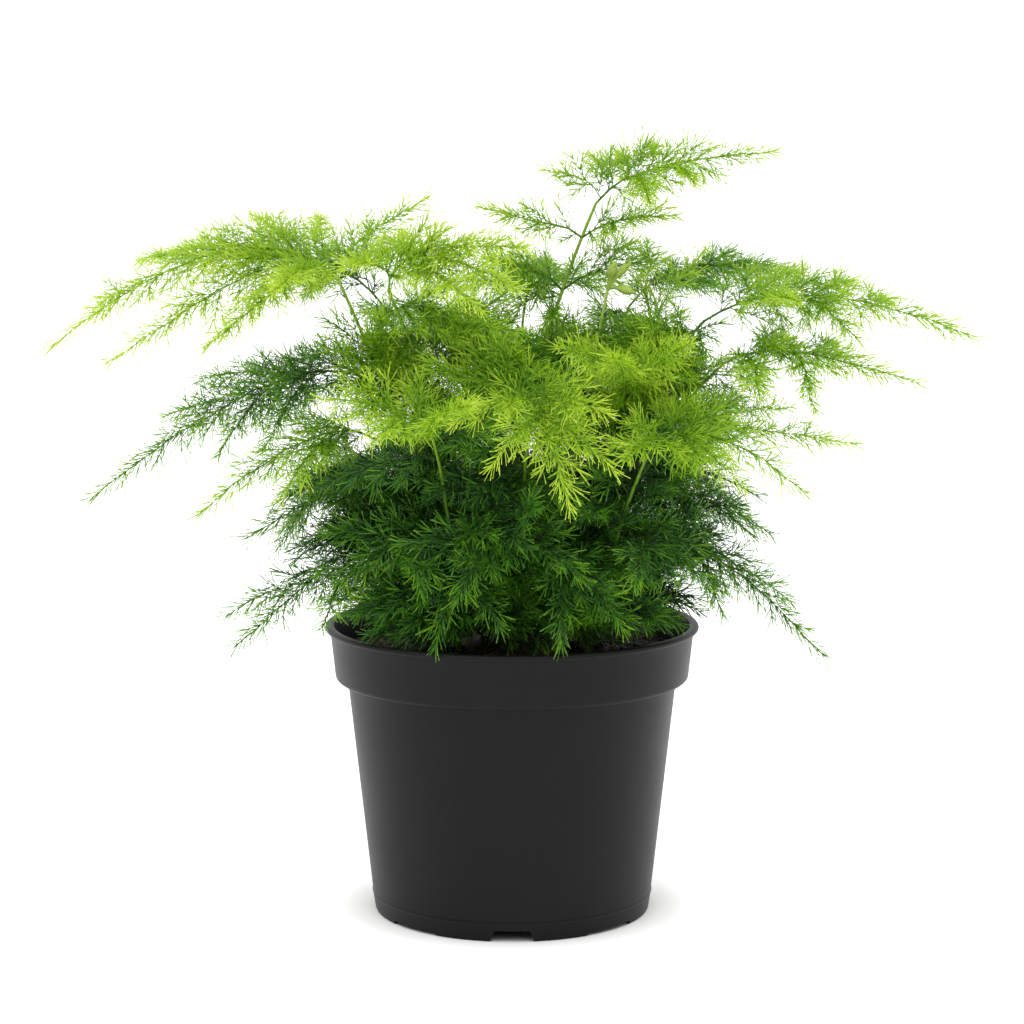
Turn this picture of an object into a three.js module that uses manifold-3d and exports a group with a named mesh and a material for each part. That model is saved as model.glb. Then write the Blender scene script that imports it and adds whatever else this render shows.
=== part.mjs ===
// Potted asparagus fern: a tuft of wiry stems that carry feathery sprays, its rootstock, its potting mix and its round
// plastic nursery pot. Millimetres, +Z up, the pot's axis on Z, the ground at z = 0, the plant's front towards -Y.
import * as THREE from "three";
import { mergeVertices } from "three/addons/utils/BufferGeometryUtils.js";
import Module from "manifold-3d";

const wasm = await Module();
wasm.setup();
const { Manifold, Mesh: SolidMesh } = wasm;

// ---------------------------------------------------------------- driving dimensions
const GAP = 0.3; // clearance between pieces that touch
const FINEST = 0.04; // no detail smaller than this is kept
const POT_HEIGHT = 101;
const LIP_RADIUS = 65;
const LIP_HEIGHT = 2;
const COLLAR_TOP_RADIUS = 63.2;
const COLLAR_FOOT_RADIUS = 61.6;
const COLLAR_FOOT_Z = 82;
const BODY_TOP_RADIUS = 57.3;
const BASE_RADIUS = 48.2;
const WALL = 1.4;
const FLOOR_Z = 4; // underside of the raised floor
const FLOOR_THICKNESS = 1.4;
const FOOT_WIDTH = 2.6;
const RIDGE_Z = 6.5; // moulded ring just above the foot
const POT_SEGMENTS = 44;
const NOTCH_COUNT = 8;
const NARROW_NOTCH = [15, 3.9]; // width at the ground and height, every second notch
const WIDE_NOTCH = [21, 1.3];
const DRAIN_RADIUS = 3.5;
const DRAIN_CIRCLE = 38;

const SOIL_EDGE_Z = 91;
const SOIL_CENTRE_Z = 93.5;
const CROWN_RADIUS = 31;
const CROWN_RISE = 2.6; // the crown stands this far out of the mix
const STEM_SINK = 4; // how deep a stem is set in the crown
const BLADE_HALF_THICKNESS = 0.55;

// ---------------------------------------------------------------- the plant
// Stems: name, base [x, y], middle [x, y, z], top [x, y, z], foot radius.
const STEMS = [
  ["high_left", [-8, -2], [-27, -4, 145], [-59, -5, 220], 1.1],
  ["high_middle", [-2, -9], [-17, -15, 150], [-41, -30, 218], 1.1],
  ["crest", [-1, 5], [3, 8, 165], [29, 10, 246], 1.2],
  ["high_right", [26, 3], [34, 2, 152], [66, 0, 206], 1.2],
  ["mid_right", [22, -8], [40, -10, 150], [72, -15, 193], 1.0],
  ["lime_right", [24, -17], [35, -27, 133], [47, -45, 170], 1.0],
  ["lime_left", [-18, -17], [-21, -25, 132], [-26, -50, 171], 1.0],
  ["left", [-14, 8], [-26, 9, 140], [-44, 10, 182], 1.0],
  ["left_lower", [-17, -8], [-29, -12, 132], [-45, -15, 166], 0.9],
  ["front", [3, -16], [4, -29, 142], [6, -55, 186], 1.0],
  ["inner", [-6, 10], [-7, 4, 146], [-6, -4, 196], 0.9],
  ["low_left", [-22, 0], [-31, -2, 122], [-42, -8, 148], 0.8],
  ["low_right", [18, 8], [32, 2, 122], [46, -4, 145], 0.8],
  ["low_front", [11, -22], [14, -24, 116], [17, -26, 134], 0.7],
  ["low_front_left", [-9, -23], [-11, -24, 114], [-13, -26, 130], 0.7],
  ["back_left", [-11, 17], [-26, 32, 150], [-46, 46, 208], 1.0],
  ["back", [1, 22], [2, 38, 150], [4, 50, 204], 1.0],
  ["back_right", [12, 17], [24, 32, 152], [42, 44, 208], 1.0],
  ["low_back_left", [-19, 17], [-30, 32, 126], [-38, 40, 150], 0.8],
  ["low_back_right", [20, 18], [30, 32, 126], [38, 42, 150], 0.8],
  ["low_back", [4, 27], [4, 38, 124], [5, 46, 148], 0.8],
];

// Sprays: name, its stem, how far up the stem it starts, tip [x, y, z], lift of the arch, half width, roll of its face in
// degrees (0 looks up, 90 looks to the front), age (0 old and dark, 1 young), then the side sprays, each with where it
// starts along the main one, its tip and its half width.
const SPRAYS = [
  ["high_left", "high_left", 1, [-153, -30, 200], 30, 8, 55, 0.8, [
    [0.12, [-131, -55, 197], 6], [0.02, [-98, -70, 203], 6], [0.35, [-121, 25, 228], 5], [0.5, [-130, 15, 226], 4],
    [0.75, [-140, -16, 212], 4], [0.16, [-92, 35, 241], 5], [0.08, [-69, 45, 240], 5], [0.02, [-30, 22, 247], 5],
    [0.03, [-76, -75, 221], 5]]],
  ["high_middle", "high_middle", 1, [4, -85, 235], 8, 8, 50, 0.95, [
    [0.3, [2, -97, 223], 5], [0.22, [-10, -90, 216], 5], [0.1, [-54, -60, 228], 5], [0.14, [-37, 0, 236], 5]]],
  ["crest_top", "crest", 1, [88, -10, 264], 5, 7, 60, 0.7, [
    [0.04, [12, 26, 257], 5], [0.12, [27, 36, 262], 4], [0.22, [37, 42, 262], 4], [0.34, [50, 30, 266], 4],
    [0.4, [60, -36, 254], 4], [0.2, [45, -46, 248], 4]]],
  ["crest_left_upper", "crest", 0.93, [-10, -5, 245], 0, 6, 55, 0.75, []],
  ["crest_right_upper", "crest", 0.93, [54, -26, 243], 3, 6, 55, 0.7, []],
  ["crest_left_lower", "crest", 0.82, [-9, -16, 228], 2, 6, 55, 0.6, [[0.4, [-8, 16, 226], 4]]],
  ["crest_right_lower", "crest", 0.82, [51, -2, 227], 4, 6, 55, 0.6, [[0.4, [44, 26, 232], 4]]],
  ["high_right", "high_right", 1, [154, -25, 203], 15, 7, 55, 0.6, [
    [0.15, [102, 32, 222], 6], [0.1, [92, -64, 217], 5], [0.4, [120, 25, 218], 4], [0.6, [132, 14, 211], 4],
    [0.35, [114, -42, 203], 5]]],
  ["high_right_upturned", "high_right", 0.8, [44, 26, 220], 6, 6, 60, 0.65, [[0.4, [68, 36, 228], 4]]],
  ["high_right_front", "high_right", 0.62, [32, -80, 201], 9, 8, 60, 0.9, [
    [0.28, [57, -72, 204], 5], [0.52, [15, -76, 203], 4]]],
  ["mid_right", "mid_right", 1, [133, -45, 189], 6, 7, 55, 0.55, [
    [0.45, [112, 2, 198], 4], [0.35, [98, -64, 182], 4], [0.1, [80, -62, 186], 5], [0.15, [96, 22, 199], 4]]],
  ["lime_right", "lime_right", 1, [95, -60, 155], 14, 6, 60, 0.85, [
    [0.05, [116, -20, 166], 6], [0.03, [96, 2, 176], 5], [0.14, [74, -76, 158], 5], [0.02, [36, -82, 168], 6],
    [0.04, [54, -26, 180], 4]]],
  ["lime_left", "lime_left", 1, [-60, -72, 186], 8, 7, 60, 0.9, [
    [0.2, [-44, -88, 174], 5], [0.02, [-13, -92, 186], 6], [0.06, [-37, -28, 188], 4]]],
  ["left", "left", 1, [-143, -12, 147], 22, 8, 55, 0.25, [
    [0.3, [-109, 25, 184], 5], [0.1, [-79, 36, 190], 6], [0.55, [-122, 20, 171], 4], [0.4, [-98, -34, 164], 5],
    [0.25, [-82, -46, 167], 5]]],
  ["left_lower", "left_lower", 1, [-104, -42, 145], 15, 7, 55, 0.45, [
    [0.25, [-76, -56, 152], 5], [0.1, [-74, 12, 166], 4]]],
  ["front", "front", 1, [18, -97, 155], 10, 7, 65, 0.95, [
    [0.08, [-18, -87, 180], 5], [0.35, [-6, -96, 168], 4], [0.1, [30, -88, 183], 5], [0.4, [32, -94, 166], 4]]],
  ["inner_left", "inner", 1, [-36, 20, 205], 6, 7, 50, 0.3, [[0.25, [-16, 36, 212], 5], [0.2, [-30, -22, 200], 4]]],
  ["inner_right", "inner", 0.86, [28, -30, 196], 5, 7, 50, 0.3, [[0.3, [30, 18, 198], 5], [0.25, [6, -40, 204], 4]]],
  ["inner_front", "front", 0.5, [-18, -64, 120], 8, 8, 65, 0.2, [
    [0.25, [24, -60, 126], 5], [0.5, [-36, -48, 136], 4], [0.12, [8, -66, 150], 5]]],
  ["inner_front_left", "lime_left", 0.55, [-58, -44, 122], 8, 7, 60, 0.2, [
    [0.3, [-30, -58, 122], 5], [0.4, [-62, -26, 136], 4]]],
  ["inner_front_right", "lime_right", 0.55, [64, -48, 122], 8, 7, 60, 0.2, [
    [0.3, [40, -60, 124], 5], [0.4, [66, -24, 142], 4]]],
  ["low_left", "low_left", 0.72, [-91, -46, 102], 6, 7, 55, 0.15, [
    [0.55, [-96, -22, 108], 4], [0.3, [-62, -60, 110], 5]]],
  ["low_left_upper", "low_left", 1, [-90, -12, 133], 9, 6, 55, 0.15, [[0.15, [-76, 30, 147], 5], [0.5, [-82, 10, 126], 4]]],
  ["low_right", "low_right", 0.8, [104, -36, 97], 12, 7, 55, 0.15, [[0.3, [70, -44, 112], 5], [0.45, [96, -8, 110], 4]]],
  ["low_right_upper", "low_right", 1, [90, 12, 131], 8, 6, 55, 0.15, [[0.2, [62, 28, 140], 5], [0.35, [82, -18, 134], 4]]],
  ["low_front", "low_front", 1, [16, -64, 105], 6, 6, 65, 0.3, [[0.3, [36, -60, 110], 4]]],
  ["low_front_right", "low_front", 0.6, [55, -28, 106], 5, 6, 60, 0.2, []],
  ["low_front_left", "low_front_left", 1, [-25, -60, 104], 6, 6, 65, 0.3, [[0.35, [-4, -58, 110], 4]]],
  ["low_side_left", "low_front_left", 0.6, [-57, -26, 109], 5, 6, 60, 0.2, []],
  ["back_left", "back_left", 1, [-118, 74, 222], 16, 8, 20, 0.45, [
    [0.15, [-84, 92, 216], 6], [0.35, [-102, 50, 228], 5], [0.1, [-52, 82, 236], 5]]],
  ["back", "back", 1, [14, 98, 222], 8, 8, 20, 0.5, [
    [0.2, [-24, 84, 214], 6], [0.25, [44, 80, 214], 6], [0.5, [-6, 96, 210], 4]]],
  ["back_right", "back_right", 1, [112, 78, 214], 16, 8, 20, 0.4, [
    [0.15, [80, 92, 212], 6], [0.35, [98, 46, 222], 5], [0.1, [50, 78, 230], 5]]],
  ["low_back_left", "low_back_left", 1, [-86, 76, 122], 14, 8, 20, 0.15, [[0.25, [-56, 86, 134], 6], [0.3, [-86, 48, 136], 5]]],
  ["low_back_right", "low_back_right", 1, [88, 76, 126], 14, 8, 20, 0.15, [[0.25, [56, 88, 136], 6], [0.3, [88, 46, 140], 5]]],
  ["low_back", "low_back", 1, [6, 96, 120], 14, 8, 20, 0.15, [[0.25, [-26, 84, 134], 6], [0.25, [36, 86, 134], 6]]],
];

// The new shoot: a bare wand with swollen buds at its tip.
const NEW_SHOOT = { base: [9, -4], middle: [22, -5, 158], top: [33, -5, 219], radius: 1.1 };
const BUDS = [[[34, -5, 230], 1.7], [[41, -6, 227], 1.5], [[43, -6, 218], 1.5]];

// Roots: direction in degrees, length, drop of the tip.
const ROOTS = [[10, 22, 26], [55, 18, 40], [100, 20, 22], [145, 17, 44], [190, 22, 30], [235, 18, 42], [280, 20, 24], [325, 17, 46]];

// ---------------------------------------------------------------- helpers
const vector = (p) => new THREE.Vector3(p[0], p[1], p[2]);

// A three.js geometry as a closed solid.
function solidOf(geometry) {
  const bare = new THREE.BufferGeometry().setAttribute("position", geometry.getAttribute("position"));
  if (geometry.index) bare.setIndex(geometry.index);
  const merged = mergeVertices(bare, 1e-4);
  return new Manifold(
    new SolidMesh({ numProp: 3, vertProperties: merged.attributes.position.array, triVerts: new Uint32Array(merged.index.array) }),
  );
}

// A closed solid as a named mesh in its material.
function meshOf(name, solid, material) {
  const data = largest(solid.simplify(FINEST)).getMesh();
  const positions = new Float32Array(data.numVert * 3);
  for (let i = 0; i < data.numVert; i++)
    positions.set(data.vertProperties.subarray(i * data.numProp, i * data.numProp + 3), i * 3);
  const geometry = new THREE.BufferGeometry()
    .setAttribute("position", new THREE.BufferAttribute(positions, 3))
    .setIndex(new THREE.BufferAttribute(new Uint32Array(data.triVerts), 1));
  const flat = geometry.toNonIndexed();
  flat.computeVertexNormals();
  const mesh = new THREE.Mesh(flat, material);
  mesh.name = name;
  return mesh;
}

// A plain cylinder bent along a curve. section(t) gives its half width and half thickness, and face is the way its flat
// side looks.
function bendAlong(curve, steps, sides, face, section) {
  const geometry = new THREE.CylinderGeometry(1, 1, 1, sides, steps);
  const place = geometry.getAttribute("position");
  for (let i = 0; i < place.count; i++) {
    const t = Math.min(1, Math.max(0, place.getY(i) + 0.5));
    const along = curve.getTangent(t).normalize();
    const side = new THREE.Vector3().crossVectors(along, face);
    if (side.lengthSq() < 0.01) side.crossVectors(along, new THREE.Vector3(1, 0, 0));
    side.normalize();
    const up = new THREE.Vector3().crossVectors(side, along);
    const [width, thickness] = section(t);
    const point = curve.getPoint(t).addScaledVector(side, place.getX(i) * width).addScaledVector(up, place.getZ(i) * thickness);
    place.setXYZ(i, point.x, point.y, point.z);
  }
  return solidOf(geometry);
}

// The value at t on a list of [t, value] points.
function lookUp(points, t) {
  for (let i = 1; i < points.length; i++)
    if (t <= points[i][0]) {
      const [t0, v0] = points[i - 1], [t1, v1] = points[i];
      return v0 + ((v1 - v0) * (t - t0)) / (t1 - t0);
    }
  return points[points.length - 1][1];
}

// A gentle curve that passes through its middle point half way.
function curveThrough(start, middle, end) {
  const control = middle.clone().multiplyScalar(2).addScaledVector(start, -0.5).addScaledVector(end, -0.5);
  return new THREE.QuadraticBezierCurve3(start, control, end);
}

// A curve whose control point stands above the middle of its chord.
function archOver(start, end, lift) {
  const control = start.clone().add(end).multiplyScalar(0.5);
  control.z += lift;
  return new THREE.QuadraticBezierCurve3(start, control, end);
}

// Straight on from both ends of a curve by the given length.
function lengthened(curve, extra) {
  const start = curve.getPoint(0).addScaledVector(curve.getTangent(0), -extra);
  const end = curve.getPoint(1).addScaledVector(curve.getTangent(1), extra);
  return new THREE.QuadraticBezierCurve3(start, curve.v1.clone(), end);
}

const largest = (solid) => solid.decompose().reduce((best, body) => (body.volume() > best.volume() ? body : best));

// ---------------------------------------------------------------- pot
const BODY_SLOPE = (BODY_TOP_RADIUS - BASE_RADIUS) / COLLAR_FOOT_Z;
const outerAt = (z) => BASE_RADIUS + BODY_SLOPE * z;

function makePot() {
  const floorTop = FLOOR_Z + FLOOR_THICKNESS;
  const profile = [
    [0, FLOOR_Z], [BASE_RADIUS - FOOT_WIDTH, FLOOR_Z], [BASE_RADIUS - FOOT_WIDTH, 0], [BASE_RADIUS - 0.8, 0], [BASE_RADIUS, 0.8],
    [outerAt(RIDGE_Z - 0.8), RIDGE_Z - 0.8], [outerAt(RIDGE_Z) + 0.5, RIDGE_Z], [outerAt(RIDGE_Z + 0.8), RIDGE_Z + 0.8],
    [BODY_TOP_RADIUS, COLLAR_FOOT_Z], [COLLAR_FOOT_RADIUS - 0.9, COLLAR_FOOT_Z], [COLLAR_FOOT_RADIUS, COLLAR_FOOT_Z + 0.9],
    [COLLAR_TOP_RADIUS, POT_HEIGHT - LIP_HEIGHT], [LIP_RADIUS - 0.8, POT_HEIGHT - LIP_HEIGHT + 0.1],
    [LIP_RADIUS, POT_HEIGHT - LIP_HEIGHT + 0.7], [LIP_RADIUS, POT_HEIGHT - 0.7], [LIP_RADIUS - 0.8, POT_HEIGHT],
    [COLLAR_TOP_RADIUS - WALL + 0.4, POT_HEIGHT], [COLLAR_TOP_RADIUS - WALL, POT_HEIGHT - 0.8],
    [COLLAR_FOOT_RADIUS - WALL, COLLAR_FOOT_Z + 3], [BODY_TOP_RADIUS - WALL, COLLAR_FOOT_Z - 1.4],
    [outerAt(floorTop + 2) - WALL, floorTop + 2], [outerAt(floorTop) - WALL - 1.6, floorTop], [0, floorTop],
  ].map(([r, z]) => new THREE.Vector2(r, z));
  let pot = solidOf(new THREE.LatheGeometry(profile, POT_SEGMENTS).rotateX(Math.PI / 2));
  if (pot.volume() < 0) throw new Error("the pot's profile runs the wrong way round");
  for (let i = 0; i < NOTCH_COUNT; i++) {
    const [width, height] = i % 2 ? WIDE_NOTCH : NARROW_NOTCH;
    const outline = new THREE.Shape([
      new THREE.Vector2(-width / 2 - 0.3, -1), new THREE.Vector2(width / 2 + 0.3, -1), new THREE.Vector2(width / 2, 0),
      new THREE.Vector2(width / 2 - height * 0.4, height), new THREE.Vector2(-width / 2 + height * 0.4, height),
      new THREE.Vector2(-width / 2, 0),
    ]);
    const cutter = new THREE.ExtrudeGeometry(outline, { depth: 16, bevelEnabled: false });
    cutter.rotateX(Math.PI / 2).translate(0, -BASE_RADIUS + 8, 0).rotateZ((i * 2 * Math.PI) / NOTCH_COUNT);
    pot = pot.subtract(solidOf(cutter));
    const drain = new THREE.CylinderGeometry(DRAIN_RADIUS, DRAIN_RADIUS, 8, 8).rotateX(Math.PI / 2);
    drain.translate(0, -DRAIN_CIRCLE, FLOOR_Z).rotateZ((i * 2 * Math.PI) / NOTCH_COUNT);
    pot = pot.subtract(solidOf(drain));
  }
  return pot;
}

// ---------------------------------------------------------------- rootstock and mix
function makeRootstock(stemSockets) {
  const mound = new THREE.SphereGeometry(1, 16, 8).rotateX(Math.PI / 2);
  mound.scale(CROWN_RADIUS, CROWN_RADIUS, 9).translate(0, 0, SOIL_CENTRE_Z + CROWN_RISE - 9);
  let stock = solidOf(mound);
  for (const [degrees, reach, drop] of ROOTS) {
    const angle = (degrees * Math.PI) / 180;
    const out = new THREE.Vector3(Math.cos(angle), Math.sin(angle), 0);
    const start = out.clone().multiplyScalar(14).setZ(88);
    const end = out.clone().multiplyScalar(14 + reach).setZ(84 - drop);
    const root = bendAlong(archOver(start, end, 5), 4, 5, new THREE.Vector3(-out.y, out.x, 0), (t) => {
      const r = lookUp([[0, 2.6], [0.6, 2.4], [0.8, 3.2], [1, 0.6]], t);
      return [r, r];
    });
    stock = stock.add(root);
  }
  for (const socket of stemSockets) stock = stock.subtract(socket);
  return stock;
}

// The mound and roots a little larger, so the mix stays clear of them.
function crownHollow() {
  const mound = new THREE.SphereGeometry(1, 16, 8).rotateX(Math.PI / 2);
  mound.scale(CROWN_RADIUS + GAP, CROWN_RADIUS + GAP, 9 + GAP).translate(0, 0, SOIL_CENTRE_Z + CROWN_RISE - 9);
  let hollow = solidOf(mound);
  for (const [degrees, reach, drop] of ROOTS) {
    const angle = (degrees * Math.PI) / 180;
    const out = new THREE.Vector3(Math.cos(angle), Math.sin(angle), 0);
    const start = out.clone().multiplyScalar(14).setZ(88);
    const end = out.clone().multiplyScalar(14 + reach).setZ(84 - drop);
    const root = bendAlong(lengthened(archOver(start, end, 5), 0.8), 4, 5, new THREE.Vector3(-out.y, out.x, 0), (t) => {
      const r = lookUp([[0, 3.1], [0.6, 2.9], [0.8, 3.7], [1, 1.1]], t);
      return [r, r];
    });
    hollow = hollow.add(root);
  }
  return hollow;
}

function makeMix(stemSockets) {
  const floor = FLOOR_Z + FLOOR_THICKNESS + GAP;
  const innerAt = (z) => outerAt(z) - WALL - GAP;
  const profile = [
    [0, floor], [outerAt(floor) - WALL - 1.6 - GAP, floor], [innerAt(floor + 2.2), floor + 2.2], [innerAt(COLLAR_FOOT_Z - 1.7), COLLAR_FOOT_Z - 1.7],
    [COLLAR_FOOT_RADIUS - WALL - GAP, COLLAR_FOOT_Z + 3.2], [COLLAR_FOOT_RADIUS - WALL - GAP + 0.3, SOIL_EDGE_Z - 1],
    [54, SOIL_EDGE_Z + 0.4], [46, SOIL_EDGE_Z + 0.9], [38, SOIL_EDGE_Z + 1.6], [26, SOIL_CENTRE_Z], [0, SOIL_CENTRE_Z],
  ].map(([r, z]) => new THREE.Vector2(r, z));
  const lathe = new THREE.LatheGeometry(profile, 30).rotateX(Math.PI / 2);
  const place = lathe.getAttribute("position");
  for (let i = 0; i < place.count; i++) {
    const x = place.getX(i), y = place.getY(i), z = place.getZ(i), r = Math.hypot(x, y), a = Math.atan2(y, x);
    if (z > SOIL_EDGE_Z && r > 30) place.setZ(i, z + 0.7 * Math.sin(5 * a + r / 7) + 0.4 * Math.cos(11 * a - r / 5));
  }
  let mix = solidOf(lathe).subtract(crownHollow());
  for (const socket of stemSockets) mix = mix.subtract(socket);
  return mix;
}

// ---------------------------------------------------------------- stems
function stemCurve(stem) {
  const foot = new THREE.Vector3(stem[1][0], stem[1][1], 0);
  foot.z = crownTop(foot.x, foot.y) - STEM_SINK;
  return curveThrough(foot, vector(stem[2]), vector(stem[3]));
}

// Height of the crown's surface above the given point.
function crownTop(x, y) {
  const share = Math.min(1, Math.hypot(x, y) / CROWN_RADIUS);
  return SOIL_CENTRE_Z + CROWN_RISE - 9 + 9 * Math.sqrt(1 - share * share);
}

function makeStem(curve, radius, grow) {
  const path = grow ? lengthened(curve, grow) : curve;
  return bendAlong(path, 6, 6, new THREE.Vector3(0, -1, 0.2).normalize(), (t) => {
    const r = radius * (1 - 0.35 * t) + grow;
    return [r, r];
  });
}

function makeNewShoot(grow) {
  const curve = stemCurve(["new_shoot", NEW_SHOOT.base, NEW_SHOOT.middle, NEW_SHOOT.top]);
  let shoot = makeStem(curve, NEW_SHOOT.radius, grow);
  for (const [tip, radius] of BUDS) {
    const bud = archOver(curve.getPoint(0.985), vector(tip), 0);
    shoot = shoot.add(
      bendAlong(grow ? lengthened(bud, grow) : bud, 4, 6, new THREE.Vector3(0, -1, 0), (t) => {
        const r = radius * lookUp([[0, 0.4], [0.25, 0.55], [0.5, 1], [0.75, 0.85], [1, 0.25]], t) + grow;
        return [r, r];
      }),
    );
  }
  return shoot;
}

// ---------------------------------------------------------------- sprays
const SPRAY_OUTLINE = [[0, 0.12], [0.2, 0.7], [0.4, 1], [0.65, 0.82], [0.85, 0.45], [1, 0.08]];

function makeBlade(curve, steps, halfWidth, face, grow) {
  return bendAlong(grow ? lengthened(curve, grow) : curve, steps, 4, face, (t) => [
    Math.max(0.6, halfWidth * lookUp(SPRAY_OUTLINE, t)) + grow,
    BLADE_HALF_THICKNESS * (1 - 0.35 * t) + grow,
  ]);
}

// A whole spray, or with grow above 0 the room it needs round it.
function makeSpray(spray, stems, grow) {
  const [, stemName, up, tip, lift, halfWidth, roll, , sides] = spray;
  const stem = stems.get(stemName);
  const joint = stem.curve.getPoint(up);
  const away = up === 1 ? stem.curve.getTangent(1) : vector(tip).sub(joint).setZ(0).normalize();
  const start = joint.addScaledVector(away, up === 1 ? GAP : stem.radius + GAP);
  const main = archOver(start, vector(tip), lift);
  const angle = (roll * Math.PI) / 180;
  const face = new THREE.Vector3(0, -Math.sin(angle), Math.cos(angle));
  let solid = makeBlade(main, 6, halfWidth, face, grow);
  for (const [t, end, width] of sides) {
    const side = archOver(main.getPoint(Math.max(0.03, t)), vector(end), 4);
    solid = solid.add(makeBlade(side, 4, width, face, grow));
  }
  return solid;
}

// ---------------------------------------------------------------- assembly
const paint = (hex, roughness) => new THREE.MeshStandardMaterial({ color: hex, roughness, metalness: 0 });
const potPlastic = paint(0x232423, 0.55);
const moistMix = paint(0x2e231b, 0.95);
const rootSkin = paint(0x6b5638, 0.85);
const oldStem = paint(0x4b6a2a, 0.6);
const youngStem = paint(0x86a348, 0.6);
const darkFoliage = paint(0x2f5527, 0.7);
const midFoliage = paint(0x4f7a33, 0.7);
const limeFoliage = paint(0x8fae45, 0.7);
const paleShoot = paint(0xb7bd6c, 0.6);

const stems = new Map();
for (const stem of STEMS) stems.set(stem[0], { curve: stemCurve(stem), radius: stem[4] });

const pieces = []; // { name, solid, room, material }
for (const [name, { curve, radius }] of stems)
  pieces.push({
    name: "stem_" + name,
    solid: makeStem(curve, radius, 0),
    room: makeStem(curve, radius, GAP),
    material: radius < 1 ? oldStem : youngStem,
  });
pieces.push({ name: "stem_new_shoot", solid: makeNewShoot(0), room: makeNewShoot(GAP), material: paleShoot });
const stemCount = pieces.length;
for (const spray of SPRAYS)
  pieces.push({
    name: "frond_" + spray[0],
    solid: makeSpray(spray, stems, 0),
    room: makeSpray(spray, stems, GAP),
    material: spray[7] < 0.35 ? darkFoliage : spray[7] < 0.75 ? midFoliage : limeFoliage,
  });

// Where two pieces of the plant cross, the one that loses less of itself gives way, with the gap between them.
for (let i = 0; i < pieces.length; i++)
  for (let j = 0; j < i; j++) {
    const a = pieces[j], b = pieces[i];
    const boxA = a.room.boundingBox(), boxB = b.room.boundingBox();
    if ([0, 1, 2].some((k) => boxA.min[k] > boxB.max[k] || boxB.min[k] > boxA.max[k])) continue;
    if (b.solid.intersect(a.room).volume() < 1e-4 && a.solid.intersect(b.room).volume() < 1e-4) continue;
    const cutB = largest(b.solid.subtract(a.room));
    if (i >= stemCount && j < stemCount) {
      b.solid = cutB;
      continue;
    }
    const cutA = largest(a.solid.subtract(b.room));
    const lossA = a.solid.volume() - cutA.volume(), lossB = b.solid.volume() - cutB.volume();
    if (lossA < lossB) a.solid = cutA;
    else b.solid = cutB;
  }

const stemSockets = pieces.slice(0, stemCount).map((piece) => piece.room);
const plant = new THREE.Group();
plant.name = "potted_asparagus_fern";
plant.add(meshOf("pot", makePot(), potPlastic));
plant.add(meshOf("potting_mix", largest(makeMix(stemSockets)), moistMix));
plant.add(meshOf("rootstock", largest(makeRootstock(stemSockets)), rootSkin));
for (const piece of pieces) plant.add(meshOf(piece.name, piece.solid, piece.material));

export default plant;
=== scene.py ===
"""Potted asparagus fern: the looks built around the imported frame. Metres, +Z up, front towards -Y."""

import logging  # noqa: E402
import math  # noqa: E402
from dataclasses import dataclass, field  # noqa: E402
from enum import Enum  # noqa: E402

import bmesh  # noqa: E402
import bpy  # noqa: E402
import numpy as np  # noqa: E402
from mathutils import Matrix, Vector  # noqa: E402


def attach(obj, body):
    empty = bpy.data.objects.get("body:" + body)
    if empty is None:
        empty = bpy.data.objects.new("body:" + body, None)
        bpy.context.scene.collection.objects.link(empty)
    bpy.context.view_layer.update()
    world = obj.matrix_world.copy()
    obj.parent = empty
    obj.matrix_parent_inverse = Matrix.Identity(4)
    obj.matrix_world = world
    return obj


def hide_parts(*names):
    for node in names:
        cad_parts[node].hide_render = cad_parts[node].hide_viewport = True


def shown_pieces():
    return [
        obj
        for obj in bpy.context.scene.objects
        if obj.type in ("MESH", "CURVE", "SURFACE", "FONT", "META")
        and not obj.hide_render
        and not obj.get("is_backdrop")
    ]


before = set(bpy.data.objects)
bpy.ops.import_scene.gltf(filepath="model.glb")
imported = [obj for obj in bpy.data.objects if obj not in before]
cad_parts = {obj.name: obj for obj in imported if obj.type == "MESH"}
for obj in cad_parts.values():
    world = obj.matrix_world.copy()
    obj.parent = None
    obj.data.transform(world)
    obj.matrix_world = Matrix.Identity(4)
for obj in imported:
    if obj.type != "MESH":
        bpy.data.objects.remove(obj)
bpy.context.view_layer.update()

log = logging.getLogger("fern")
MM = 0.001
Vec = np.ndarray
Tree, Socket, Piece = bpy.types.NodeTree, bpy.types.NodeSocket, bpy.types.Object
Range = tuple[float, float]
Stops = tuple[tuple[float, str], ...]  # positions and sRGB colours of a ramp
Look = tuple[Socket, Socket | None]  # colour, and height of the relief
Body = bmesh.types.BMesh
Ring = list[bmesh.types.BMVert]

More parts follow.
